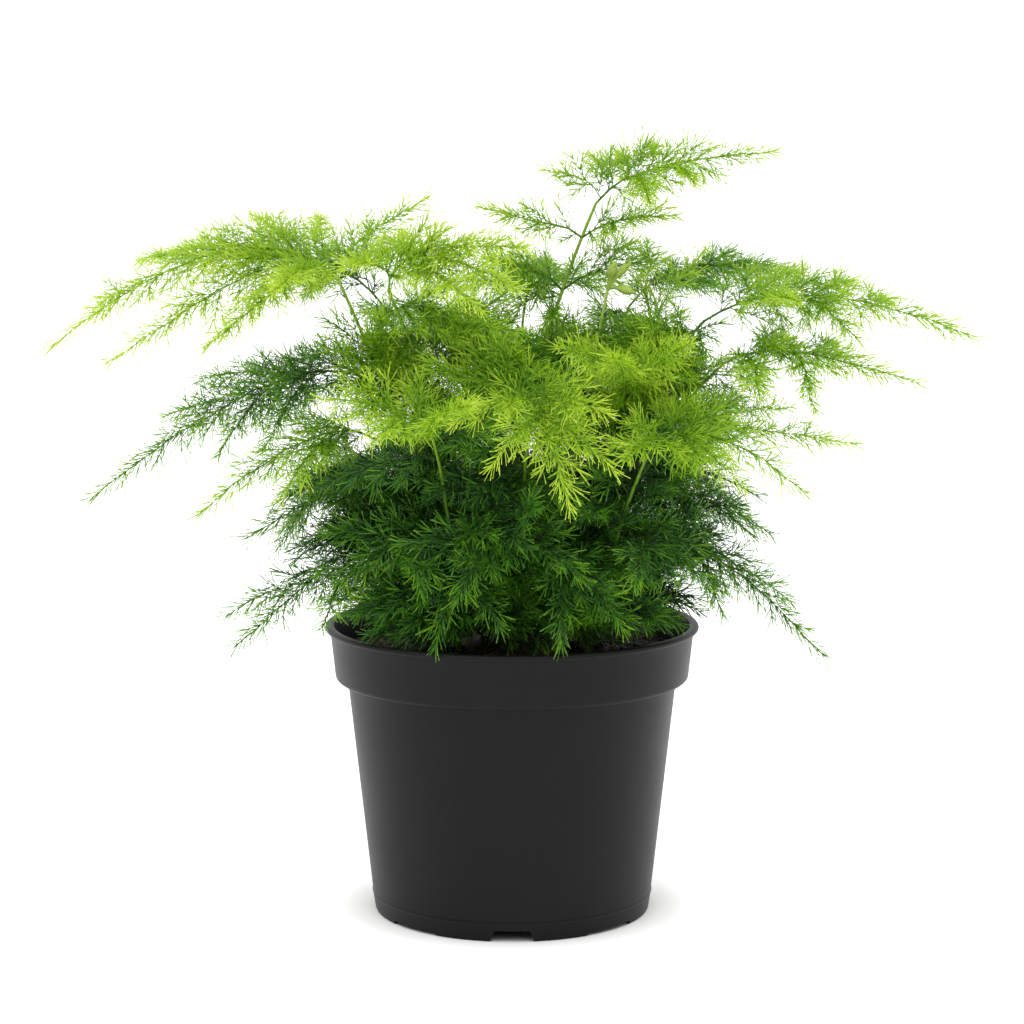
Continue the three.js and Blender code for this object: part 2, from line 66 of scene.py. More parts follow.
# Stems: name, base [x, y], middle, top (mm), foot radius (mm), age (0 old and dark, 1 young and pale).
STEMS = [
    ["high_left", [-8, -2], [-27, -4, 145], [-59, -5, 220], 1.1, 0.55],
    ["high_middle", [-2, -9], [-17, -15, 150], [-41, -30, 218], 1.1, 0.5],
    ["crest", [-1, 5], [3, 8, 165], [29, 10, 246], 1.2, 0.7],
    ["high_right", [26, 3], [34, 2, 152], [66, 0, 206], 1.2, 0.25],
    ["mid_right", [22, -8], [40, -10, 150], [72, -15, 193], 1.0, 0.4],
    ["lime_right", [24, -17], [35, -27, 133], [47, -45, 170], 1.0, 0.5],
    ["lime_left", [-18, -17], [-21, -25, 132], [-26, -50, 171], 1.0, 0.5],
    ["left", [-14, 8], [-26, 9, 140], [-44, 10, 182], 1.0, 0.3],
    ["left_lower", [-17, -8], [-29, -12, 132], [-45, -15, 166], 0.9, 0.4],
    ["front", [3, -16], [4, -29, 142], [6, -55, 186], 1.0, 0.45],
    ["inner", [-6, 10], [-7, 4, 146], [-6, -4, 196], 0.9, 0.3],
    ["low_left", [-22, 0], [-31, -2, 122], [-42, -8, 148], 0.8, 0.2],
    ["low_right", [18, 8], [32, 2, 122], [46, -4, 145], 0.8, 0.2],
    ["low_front", [11, -22], [14, -24, 116], [17, -26, 134], 0.7, 0.15],
    ["low_front_left", [-9, -23], [-11, -24, 114], [-13, -26, 130], 0.7, 0.15],
    ["back_left", [-11, 17], [-26, 32, 150], [-46, 46, 208], 1.0, 0.4],
    ["back", [1, 22], [2, 38, 150], [4, 50, 204], 1.0, 0.4],
    ["back_right", [12, 17], [24, 32, 152], [42, 44, 208], 1.0, 0.4],
    ["low_back_left", [-19, 17], [-30, 32, 126], [-38, 40, 150], 0.8, 0.2],
    ["low_back_right", [20, 18], [30, 32, 126], [38, 42, 150], 0.8, 0.2],
    ["low_back", [4, 27], [4, 38, 124], [5, 46, 148], 0.8, 0.2],
]

# Sprays: name, stem, how far up it starts, tip (mm), lift of the arch, half width, roll of the face in
# degrees (0 looks up, 90 to the front), age, then side sprays: start along the main one, tip, half width.
SPRAYS = [
    ["high_left", "high_left", 1, [-153, -30, 200], 30, 8, 55, 0.8, [[0.12, [-131, -55, 197], 6],
        [0.02, [-98, -70, 203], 6], [0.35, [-121, 25, 228], 5], [0.5, [-130, 15, 226], 4],
        [0.75, [-140, -16, 212], 4], [0.16, [-92, 35, 241], 5], [0.08, [-69, 45, 240], 5],
        [0.02, [-30, 22, 247], 5], [0.03, [-76, -75, 221], 5]]],
    ["high_middle", "high_middle", 1, [4, -85, 235], 8, 8, 50, 0.84, [[0.3, [2, -97, 223], 5],
        [0.22, [-10, -90, 216], 5], [0.1, [-54, -60, 228], 5], [0.14, [-37, 0, 236], 5]]],
    ["crest_top", "crest", 1, [88, -10, 264], 5, 7, 72, 0.7, [[0.04, [12, 26, 257], 5],
        [0.12, [27, 36, 262], 4], [0.22, [37, 42, 262], 4], [0.34, [50, 30, 266], 4],
        [0.4, [60, -36, 254], 4], [0.2, [45, -46, 248], 4]]],
    ["crest_left_upper", "crest", 0.93, [-10, -5, 245], 0, 6, 55, 0.75, []],
    ["crest_right_upper", "crest", 0.93, [54, -26, 243], 3, 6, 55, 0.7, []],
    ["crest_left_lower", "crest", 0.82, [-9, -16, 228], 2, 6, 55, 0.6, [[0.4, [-8, 16, 226], 4]]],
    ["crest_right_lower", "crest", 0.82, [51, -2, 227], 4, 6, 55, 0.6, [[0.4, [44, 26, 232], 4]]],
    ["high_right", "high_right", 1, [154, -25, 203], 15, 7, 55, 0.66, [[0.15, [102, 32, 222], 6],
        [0.1, [92, -64, 217], 5], [0.4, [120, 25, 218], 4], [0.6, [132, 14, 211], 4],
        [0.35, [114, -42, 203], 5]]],
    ["high_right_upturned", "high_right", 0.8, [44, 26, 220], 6, 6, 60, 0.7, [[0.4, [68, 36, 228], 4]]],
    ["high_right_front", "high_right", 0.62, [32, -80, 201], 9, 8, 60, 0.68, [[0.28, [57, -72, 204], 5],
        [0.52, [15, -76, 203], 4]]],
    ["mid_right", "mid_right", 1, [133, -45, 189], 6, 7, 55, 0.64, [[0.45, [112, 2, 198], 4],
        [0.35, [98, -64, 182], 4], [0.1, [80, -62, 186], 5], [0.15, [96, 22, 199], 4]]],
    ["lime_right", "lime_right", 1, [95, -60, 155], 14, 6, 60, 0.66, [[0.05, [116, -20, 166], 6],
        [0.03, [96, 2, 176], 5], [0.14, [74, -76, 158], 5], [0.02, [36, -82, 168], 6],
        [0.04, [54, -26, 180], 4]]],
    ["lime_left", "lime_left", 1, [-60, -72, 186], 8, 7, 60, 0.7, [[0.2, [-44, -88, 174], 5],
        [0.02, [-13, -92, 186], 6], [0.06, [-37, -28, 188], 4]]],
    ["left", "left", 1, [-143, -12, 147], 22, 8, 55, 0.34, [[0.3, [-109, 25, 184], 5],
        [0.1, [-79, 36, 190], 6], [0.55, [-122, 20, 171], 4], [0.4, [-98, -34, 164], 5],
        [0.25, [-82, -46, 167], 5]]],
    ["left_lower", "left_lower", 1, [-104, -42, 145], 15, 7, 55, 0.6, [[0.25, [-76, -56, 152], 5],
        [0.1, [-74, 12, 166], 4]]],
    ["front", "front", 1, [18, -97, 155], 10, 7, 65, 0.76, [[0.08, [-18, -87, 180], 5],
        [0.35, [-6, -96, 168], 4], [0.1, [30, -88, 183], 5], [0.4, [32, -94, 166], 4]]],
    ["inner_left", "inner", 1, [-36, 20, 205], 6, 7, 50, 0.3, [[0.25, [-16, 36, 212], 5],
        [0.2, [-30, -22, 200], 4]]],
    ["inner_right", "inner", 0.86, [28, -30, 196], 5, 7, 50, 0.3, [[0.3, [30, 18, 198], 5],
        [0.25, [6, -40, 204], 4]]],
    ["inner_front", "front", 0.5, [-18, -64, 120], 8, 8, 65, 0.16, [[0.25, [24, -60, 126], 5],
        [0.5, [-36, -48, 136], 4], [0.12, [8, -66, 150], 5]]],
    ["inner_front_left", "lime_left", 0.55, [-58, -44, 122], 8, 7, 60, 0.2, [[0.3, [-30, -58, 122], 5],
        [0.4, [-62, -26, 136], 4]]],
    ["inner_front_right", "lime_right", 0.55, [64, -48, 122], 8, 7, 60, 0.2, [[0.3, [40, -60, 124], 5],
        [0.4, [66, -24, 142], 4]]],
    ["low_left", "low_left", 0.72, [-91, -46, 102], 6, 7, 55, 0.26, [[0.55, [-96, -22, 108], 4],
        [0.3, [-62, -60, 110], 5]]],
    ["low_left_upper", "low_left", 1, [-90, -12, 133], 9, 6, 55, 0.28, [[0.15, [-76, 30, 147], 5],
        [0.5, [-82, 10, 126], 4]]],
    ["low_right", "low_right", 0.8, [104, -36, 97], 12, 7, 55, 0.26, [[0.3, [70, -44, 112], 5],
        [0.45, [96, -8, 110], 4]]],
    ["low_right_upper", "low_right", 1, [90, 12, 131], 8, 6, 55, 0.28, [[0.2, [62, 28, 140], 5],
        [0.35, [82, -18, 134], 4]]],
    ["low_front", "low_front", 1, [16, -64, 105], 6, 6, 65, 0.16, [[0.3, [36, -60, 110], 4]]],
    ["low_front_right", "low_front", 0.6, [55, -28, 106], 5, 6, 60, 0.2, []],
    ["low_front_left", "low_front_left", 1, [-25, -60, 104], 6, 6, 65, 0.16, [[0.35, [-4, -58, 110], 4]]],
    ["low_side_left", "low_front_left", 0.6, [-57, -26, 109], 5, 6, 60, 0.2, []],
    ["back_left", "back_left", 1, [-118, 74, 222], 16, 8, 20, 0.45, [[0.15, [-84, 92, 216], 6],
        [0.35, [-102, 50, 228], 5], [0.1, [-52, 82, 236], 5]]],
    ["back", "back", 1, [14, 98, 222], 8, 8, 20, 0.5, [[0.2, [-24, 84, 214], 6], [0.25, [44, 80, 214], 6],
        [0.5, [-6, 96, 210], 4]]],
    ["back_right", "back_right", 1, [112, 78, 214], 16, 8, 20, 0.4, [[0.15, [80, 92, 212], 6],
        [0.35, [98, 46, 222], 5], [0.1, [50, 78, 230], 5]]],
    ["low_back_left", "low_back_left", 1, [-86, 76, 122], 14, 8, 20, 0.15, [[0.25, [-56, 86, 134], 6],
        [0.3, [-86, 48, 136], 5]]],
    ["low_back_right", "low_back_right", 1, [88, 76, 126], 14, 8, 20, 0.15, [[0.25, [56, 88, 136], 6],
        [0.3, [88, 46, 140], 5]]],
    ["low_back", "low_back", 1, [6, 96, 120], 14, 8, 20, 0.15, [[0.25, [-26, 84, 134], 6],
        [0.25, [36, 86, 134], 6]]],
]


# ------------------------------------------------------------------ small helpers
def srgb(code: str, alpha: float = 1.0) -> tuple[float, float, float, float]:
    """Turns an sRGB hex colour into the linear numbers that shader sockets take.

    Args:
        code: Six hex digits, with or without a leading #.
        alpha: Opacity.

    Returns:
        Linear red, green and blue, and the opacity.
    """
    text = code.lstrip("#")
    parts = [int(text[i : i + 2], 16) / 255 for i in (0, 2, 4)]
    linear = [c / 12.92 if c <= 0.04045 else ((c + 0.055) / 1.055) ** 2.4 for c in parts]
    return (linear[0], linear[1], linear[2], alpha)


def add_node(tree: Tree, kind: str, values: dict | None = None, **settings: object) -> bpy.types.Node:
    """Adds one node, sets it up and wires its inputs.

    Args:
        tree: The tree it joins.
        kind: The node's type name.
        values: For each input name or index, an output socket to link or a constant to set.
        settings: Properties of the node itself.

    Returns:
        The new node.
    """
    made = tree.nodes.new(kind)
    for name, value in settings.items():
        setattr(made, name, value)
    for name, value in (values or {}).items():
        socket = made.inputs[name]
        if isinstance(value, Socket):
            tree.links.new(value, socket)
        else:
            socket.default_value = value
    return made


def joint(tree: Tree, kind: str, values: dict | None = None, output: int | str = 0,
          **settings: object) -> Socket:
    """Adds one node and gives one of its outputs.

    Args:
        tree: The tree it joins.
        kind: The node's type name.
        values: For each input name or index, an output socket to link or a constant to set.
        output: Name or index of the output.
        settings: Properties of the node itself.

    Returns:
        The output.
    """
    return add_node(tree, kind, values, **settings).outputs[output]


def maths(tree: Tree, operation: str, first: object, second: object = 0.0) -> Socket:
    """Adds one arithmetic node.

    Args:
        tree: The tree it joins.
        operation: The arithmetic, such as "MULTIPLY".
        first: A socket or a number.
        second: A socket or a number.

    Returns:
        Its output.
    """
    return joint(tree, "ShaderNodeMath", {0: first, 1: second}, operation=operation)


def noise(tree: Tree, place: Socket, scale: float, detail: float,
          roughness: float = 0.5) -> Socket:
    """Adds a noise pattern.

    Args:
        tree: The tree it joins.
        place: Where it is read.
        scale: Patches to a metre.
        detail: How many finer layers it has.
        roughness: How strong those are.

    Returns:
        Its value, about 0.5 on average.
    """
    values = {"Vector": place, "Scale": scale, "Detail": detail, "Roughness": roughness}
    return joint(tree, "ShaderNodeTexNoise", values)


def nudged(tree: Tree, value: object, pattern: object, amount: float) -> Socket:
    """Moves a value up and down with a pattern that is 0.5 on average.

    Args:
        tree: The tree it joins.
        value: What is moved.
        pattern: What moves it.
        amount: How far, from the pattern's 0 to its 1.

    Returns:
        The moved value.
    """
    return maths(tree, "ADD", value, maths(tree, "MULTIPLY", maths(tree, "SUBTRACT", pattern, 0.5), amount))


def fade(tree: Tree, value: object, between: tuple[float, float],
         to: tuple[float, float]) -> Socket:
    """Maps one range of a value to another and holds its ends.

    Args:
        tree: The tree it joins.
        value: What is mapped.
        between: The range it is read over.
        to: What the ends of that range become.

    Returns:
        The mapped value.
    """
    return joint(tree, "ShaderNodeMapRange", {0: value, 1: between[0], 2: between[1], 3: to[0], 4: to[1]})


def blend(tree: Tree, share: object, first: object, second: object,
          kind: str = "MIX") -> Socket:
    """Mixes two colours.

    Args:
        tree: The tree it joins.
        share: How much of the second, 0 to 1.
        first: The first colour.
        second: The second colour.
        kind: How they mix, such as "MULTIPLY".

    Returns:
        The mixed colour.
    """
    return joint(tree, "ShaderNodeMix", {0: share, 6: first, 7: second}, 2, data_type="RGBA", blend_type=kind)


def ramp(tree: Tree, factor: Socket,
         stops: Stops) -> Socket:
    """Adds a colour ramp.

    Args:
        tree: The tree it joins.
        factor: What drives it.
        stops: Position and sRGB colour of each stop, in order.

    Returns:
        Its colour output.
    """
    made = add_node(tree, "ShaderNodeValToRGB", {0: factor})
    elements = made.color_ramp.elements
    while len(elements) < len(stops):
        elements.new(0.5)
    for element, (position, code) in zip(elements, stops):
        element.position = position
        element.color = srgb(code)
    return made.outputs[0]


def new_material(name: str) -> tuple[bpy.types.Material, Tree, bpy.types.Node]:
    """Makes an empty material with one principled shader.

    Args:
        name: What the material is.

    Returns:
        The material, its tree and its shader node.
    """
    made = bpy.data.materials.new(name)
    made.use_nodes = True
    tree = made.node_tree
    tree.nodes.clear()
    shader = add_node(tree, "ShaderNodeBsdfPrincipled")
    add_node(tree, "ShaderNodeOutputMaterial", {"Surface": shader.outputs[0]})
    return made, tree, shader


def unit(v: Vec) -> Vec:
    """Scales a vector to length one.

    Args:
        v: Any vector that isn't zero.

    Returns:
        The unit vector.
    """
    return v / max(1e-12, float(np.linalg.norm(v)))


def look_up(points: tuple[tuple[float, float], ...], t: float) -> float:
    """Reads a value off a list of points by straight interpolation.

    Args:
        points: Pairs of position and value, in order.
        t: Where to read.

    Returns:
        The value there.
    """
    return float(np.interp(t, [p[0] for p in points], [p[1] for p in points]))


def shown(mesh: bpy.types.Mesh, name: str) -> Piece:
    """Puts a mesh in the scene as an object at the origin.

    Args:
        mesh: The mesh.
        name: The object's name.

    Returns:
        The object.
    """
    made = bpy.data.objects.new(name, mesh)
    bpy.context.scene.collection.objects.link(made)
    return made


def ringed(made: Body, points: object) -> Ring:
    """Adds a ring of vertices.

    Args:
        made: The mesh being built.
        points: Their places in millimetres.

    Returns:
        The vertices.
    """
    return [made.verts.new([c * MM for c in point]) for point in points]


def skin(made: Body, rings: list[Ring], capped: bool = False) -> None:
    """Joins rings of vertices, one after the other.

    Args:
        made: The mesh being built.
        rings: The rings. One of a single vertex is a pole.
        capped: Whether the first and last ring are filled.
    """
    if capped:
        made.faces.new(list(reversed(rings[0])))
        made.faces.new(rings[-1])
    for low, high in zip(rings, rings[1:]):
        many = max(len(low), len(high))
        for k in range(many):
            m = (k + 1) % many
            if len(low) == 1:
                made.faces.new((low[0], high[m], high[k]))
            elif len(high) == 1:
                made.faces.new((low[k], low[m], high[0]))
            else:
                made.faces.new((low[k], low[m], high[m], high[k]))


def closed(made: Body, name: str) -> bpy.types.Mesh:
    """Turns the faces outward and finishes a mesh.

    Args:
        made: The mesh being built. It is freed.
        name: The mesh's name.

    Returns:
        The mesh.
    """
    bmesh.ops.recalc_face_normals(made, faces=made.faces)
    mesh = bpy.data.meshes.new(name)
    made.to_mesh(mesh)
    made.free()
    return mesh


def settle(piece: Piece, node: str) -> None:
    """Ties a finished piece to the frame in place of a node and reports it.

    Args:
        piece: The finished object.
        node: The node it stands for.
    """
    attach(piece, "root")
    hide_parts(node)
    piece.data.calc_loop_triangles()
    log.info("%s: %d triangles", piece.name, len(piece.data.loop_triangles))


def baked(source: Piece, name: str) -> Piece:
    """Turns an object and its modifiers into one plain mesh object.

    Args:
        source: The object with modifiers. It is removed.
        name: The new object's name.

    Returns:
        The plain object.
    """
    graph = bpy.context.evaluated_depsgraph_get()
    final = source.evaluated_get(graph)
    mesh = bpy.data.meshes.new_from_object(final, preserve_all_data_layers=True, depsgraph=graph)
    mesh.name = name
    for index in reversed(range(len(mesh.materials))):
        if mesh.materials[index] is None:
            mesh.materials.pop(index=index)
    old = source.data
    bpy.data.objects.remove(source)
    if old.users == 0:
        bpy.data.meshes.remove(old)
    return shown(mesh, name)


# ------------------------------------------------------------------ finishes
@dataclass(frozen=True)
class Finish:
    """A look made with one principled shader. Each kind adds its own colours."""

    name: str
    roughness: float
    specular: float = 0.5
    grain: tuple[float, float] | None = None  # strength and depth (m) of the fine relief

    def build(self) -> bpy.types.Material:
        """Builds the material.

        Returns:
            The material.
        """
        made, tree, shader = new_material(self.name)
        place = joint(tree, "ShaderNodeTexCoord", output="Object")
        shader.inputs["Roughness"].default_value = self.roughness
        shader.inputs["Specular IOR Level"].default_value = self.specular
        colour, relief = self.paint(tree, shader, place)
        tree.links.new(colour, shader.inputs["Base Color"])
        if self.grain:
            strength, depth = self.grain
            bump = joint(tree, "ShaderNodeBump", {"Strength": strength, "Distance": depth, "Height": relief})
            tree.links.new(bump, shader.inputs["Normal"])
        return made

    def paint(self, tree: Tree, shader: bpy.types.Node, place: Socket) -> Look:
        """Adds the nodes of one kind of look.

        Args:
            tree: The material's tree.
            shader: Its shader.
            place: Position on the object.

        Returns:
            The colour, and the height of the relief if there is one.
        """
        raise NotImplementedError


@dataclass(frozen=True)
class FoliageFinish(Finish):
    """Needle foliage: dark when old, lime when young, paler towards each needle's tip, and darker where shade
    is painted.
    """

    name: str = "needle_foliage"
    roughness: float = 0.5
    specular: float = 0.42
    stops: Stops = (
        (0.0, "#0a2a02"), (0.12, "#194808"), (0.27, "#39721a"), (0.45, "#5f9709"), (0.64, "#83b00c"),
        (0.82, "#a0c518"), (1.0, "#bdd83c"))

    def paint(self, tree: Tree, shader: bpy.types.Node, place: Socket) -> Look:
        """Adds the nodes of this look.

        Args:
            tree: The material's tree.
            shader: Its shader, not used here.
            place: Position on the object.

        Returns:
            The colour, and the height of the relief if there is one.
        """
        age, along, tint = (joint(tree, "ShaderNodeAttribute", output="Fac", attribute_name=name)
                            for name in ("age", "along", "tint"))
        # broad patches a few centimetres wide: some branchlets greener, some yellower
        shade = nudged(tree, age, noise(tree, place, 45.0, 2.0), 0.34)
        shade = nudged(tree, shade, tint, 0.3)
        # each needle's tip reads a little younger than its base
        shade = maths(tree, "ADD", shade, maths(tree, "MULTIPLY", along, 0.12))
        return ramp(tree, shade, self.stops), None


@dataclass(frozen=True)
class TwigFinish(Finish):
    """Twigs and stems: wiry green skin, darker when old, with fine lengthwise streaks."""

    name: str = "stem_skin"
    roughness: float = 0.5
    specular: float = 0.3
    stops: Stops = (
        (0.0, "#23350c"), (0.25, "#37560f"), (0.5, "#588019"), (0.75, "#7fa42a"), (1.0, "#b0c560"))

    def paint(self, tree: Tree, shader: bpy.types.Node, place: Socket) -> Look:
        """Adds the nodes of this look.

        Args:
            tree: The material's tree.
            shader: Its shader, not used here.
            place: Position on the object.

        Returns:
            The colour, and the height of the relief if there is one.
        """
        age = joint(tree, "ShaderNodeAttribute", output="Fac", attribute_name="age")
        drawn_out = joint(tree, "ShaderNodeMapping", {"Vector": place, "Scale": (1.0, 1.0, 0.12)})
        # streaks about half a millimetre wide that run up the stem
        return ramp(tree, nudged(tree, age, noise(tree, drawn_out, 1400.0, 3.0), 0.3), self.stops), None


@dataclass(frozen=True)
class PlasticFinish(Finish):
    """Moulded black polypropylene: satin, with a fine moulding grain and faint scuffs."""

    name: str = "black_pot_plastic"
    roughness: float = 0.36
    specular: float = 0.16
    grain: tuple[float, float] | None = (0.12, 0.0002)

    def paint(self, tree: Tree, shader: bpy.types.Node, place: Socket) -> Look:
        """Adds the nodes of this look.

        Args:
            tree: The material's tree.
            shader: Its shader.
            place: Position on the object.

        Returns:
            The colour, and the height of the relief if there is one.
        """
        # broad uneven sheen of the moulding, centimetres wide
        cloud = noise(tree, place, 38.0, 4.0)
        rough = maths(tree, "ADD", maths(tree, "MULTIPLY", cloud, 0.14), self.roughness)
        tree.links.new(rough, shader.inputs["Roughness"])
        # sparse pale scuffs
        squeezed = joint(tree, "ShaderNodeMapping", {"Vector": place, "Scale": (1.0, 1.0, 3.2)})
        scuffed = fade(tree, noise(tree, squeezed, 160.0, 5.0, 0.7), (0.62, 0.8), (0.0, 0.35))
        base = ramp(tree, cloud, ((0.3, "#0b0c0b"), (0.7, "#101110")))
        # the relief is a fine grain under half a millimetre
        return blend(tree, scuffed, base, srgb("#242524")), noise(tree, place, 2600.0, 2.0)


@dataclass(frozen=True)
class MixFinish(Finish):
    """Potting mix: dark peat with brown bark, tan straw, a few pale grains, and moss in patches."""

    name: str = "peat_and_bark"
    roughness: float = 0.92
    grain: tuple[float, float] | None = (0.6, 0.0005)
    stops: Stops = (
        (0.0, "#1a120c"), (0.35, "#2b1d13"), (0.62, "#3d2a1a"), (0.8, "#5a4127"), (0.9, "#85683f"),
        (0.97, "#b79c6c"), (1.0, "#d9cfb8"))

    def paint(self, tree: Tree, shader: bpy.types.Node, place: Socket) -> Look:
        """Adds the nodes of this look.

        Args:
            tree: The material's tree.
            shader: Its shader, not used here.
            place: Position on the object.

        Returns:
            The colour, and the height of the relief if there is one.
        """
        tone = joint(tree, "ShaderNodeAttribute", output="Fac", attribute_name="tone")
        crumb = noise(tree, place, 700.0, 6.0)
        spots = ramp(tree, crumb, ((0.35, "#5c5c5c"), (0.62, "#ffffff")))
        peat = blend(tree, 1.0, ramp(tree, tone, self.stops), spots, "MULTIPLY")
        # moss gathers in patches, mostly on the left by the wall
        left = joint(tree, "ShaderNodeSeparateXYZ", {0: place})
        bias = maths(tree, "SUBTRACT", noise(tree, place, 55.0, 3.0), maths(tree, "MULTIPLY", left, 2.4))
        mossy = fade(tree, bias, (0.56, 0.68), (0.0, 0.7))
        green = ramp(tree, crumb, ((0.3, "#25380f"), (0.7, "#4c6a1c")))
        return blend(tree, mossy, peat, green), crumb


@dataclass(frozen=True)
class RootFinish(Finish):
    """Crown and roots: corky tan-brown skin with darker rings and fibres."""

    name: str = "root_cork"
    roughness: float = 0.85
    grain: tuple[float, float] | None = (0.5, 0.0004)
    stops: Stops = ((0.3, "#2d2013"), (0.5, "#55401f"), (0.62, "#7a6135"), (0.78, "#9c8350"))

    def paint(self, tree: Tree, shader: bpy.types.Node, place: Socket) -> Look:
        """Adds the nodes of this look.

        Args:
            tree: The material's tree.
            shader: Its shader, not used here.
            place: Position on the object.

        Returns:
            The colour, and the height of the relief if there is one.
        """
        fibre = noise(tree, place, 420.0, 6.0, 0.65)
        return ramp(tree, fibre, self.stops), fibre


# ------------------------------------------------------------------ paths and twigs
class Arc:
    """A cubic curve in millimetres."""

    def __init__(self, start: Vec, first: Vec, second: Vec, end: Vec) -> None:
        """Stores the four points.

        Args:
            start: First point.
            first: Control point that sets the way the curve leaves.
            second: Control point that sets the way it arrives.
            end: Last point.
        """
        self.points = (start, first, second, end)
        steps = self.at(np.linspace(0, 1, 17))
        self.length = float(np.linalg.norm(np.diff(steps, axis=0), axis=1).sum())

    def at(self, t: Vec | float) -> Vec:
        """Points on the curve.

        Args:
            t: One parameter or an array of them, 0 to 1.

        Returns:
            One point or a row of points.
        """
        a, b, c, d = self.points
        t = np.asarray(t, float)[..., None]
        return (1 - t) ** 3 * a + 3 * t * (1 - t) ** 2 * b + 3 * t**2 * (1 - t) * c + t**3 * d

    def tangent(self, t: float) -> Vec:
        """The direction of the curve.

        Args:
            t: Parameter, 0 to 1.

        Returns:
            A unit vector.
        """
        a, b, c, d = self.points
        return unit((1 - t) ** 2 * (b - a) + 2 * t * (1 - t) * (c - b) + t**2 * (d - c) + 1e-9)

    @classmethod
    def bent(cls, start: Vec, control: Vec, end: Vec) -> "Arc":
        """The cubic that matches a quadratic curve.

        Args:
            start: First point.
            control: The quadratic's control point.
            end: Last point.

        Returns:
            The curve.
        """
        return cls(start, start + (control - start) * 2 / 3, end + (control - end) * 2 / 3, end)

    @classmethod
    def over(cls, start: Vec, end: Vec, lift: float, heading: Vec | None = None,
             follow: float = 0.0) -> "Arc":
        """A curve that arches over its chord and may set out the way its parent was going.

        Args:
            start: First point.
            end: Last point.
            lift: Height of the quadratic's control point above the chord's middle.
            heading: The parent's direction.
            follow: How far the start keeps to that direction, 0 to 1.

        Returns:
            The curve.
        """
        made = cls.bent(start, (start + end) / 2 + np.array([0, 0, lift]), end)
        if heading is None:
            return made
        _, first, second, _ = made.points
        onward = start + heading * np.linalg.norm(first - start)
        return cls(start, first * (1 - follow) + onward * follow, second, end)

    @classmethod
    def through(cls, start: Vec, middle: Vec, end: Vec) -> "Arc":
        """A curve that passes through a point half way.

        Args:
            start: First point.
            middle: The point it passes at half its run.
            end: Last point.

        Returns:
            The curve.
        """
        return cls.bent(start, 2 * middle - (start + end) / 2, end)


@dataclass
class Twigs:
    """Many separate polylines with a girth, an age, needle size and needle spread, kept in millimetres."""

    points: list[Vec] = field(default_factory=list)
    girth: list[Vec] = field(default_factory=list)
    age: list[Vec] = field(default_factory=list)
    bearing: list[Vec] = field(default_factory=list)
    spread: list[Vec] = field(default_factory=list)

    def add(self, line: Vec, girth: Range, age: Range, bearing: Range) -> None:
        """Adds one polyline. Its needles close up towards its tip.

        Args:
            line: Its points, base first.
            girth: Radius at its base and tip.
            age: Age at its base and tip.
            bearing: Needle size at its base and tip, 0 for bare.
        """
        n = len(line)
        self.spread.append(np.interp(np.linspace(0, 1, n), [0, 0.7, 1], [1.0, 0.95, 0.5]))
        self.points.append(line)
        self.girth.append(np.linspace(*girth, n))
        self.age.append(np.linspace(*age, n))
        self.bearing.append(np.linspace(*bearing, n))

    def mesh(self, name: str) -> bpy.types.Mesh:
        """Makes a mesh of loose edges with the attributes on its points, in metres.

        Args:
            name: The mesh's name.

        Returns:
            The mesh.
        """
        place = np.concatenate(self.points) * MM
        edges, first = [], 0
        for line in self.points:
            index = np.arange(first, first + len(line))
            edges.append(np.stack([index[:-1], index[1:]], axis=1))
            first += len(line)
        joined = np.concatenate(edges)
        made = bpy.data.meshes.new(name)
        made.vertices.add(len(place))
        made.vertices.foreach_set("co", place.astype(np.float32).ravel())
        made.edges.add(len(joined))
        made.edges.foreach_set("vertices", joined.astype(np.int32).ravel())
        for key, scale in (("girth", MM), ("age", 1.0), ("bearing", 1.0), ("spread", 1.0)):
            layer = made.attributes.new(key, "FLOAT", "POINT")
            layer.data.foreach_set("value", (np.concatenate(getattr(self, key)) * scale).astype(np.float32))
        made.update()
        return made


# ------------------------------------------------------------------ node trees that repeat needles and grains
@dataclass(frozen=True)
class NeedleSize:
    """Sizes of the needle-like cladodes, in millimetres and degrees."""

    spacing: float = 2.0
    count: int = 5
    length: float = 6.1
    radius: float = 0.2
    least_tilt: float = 28.0
    most_tilt: float = 68.0


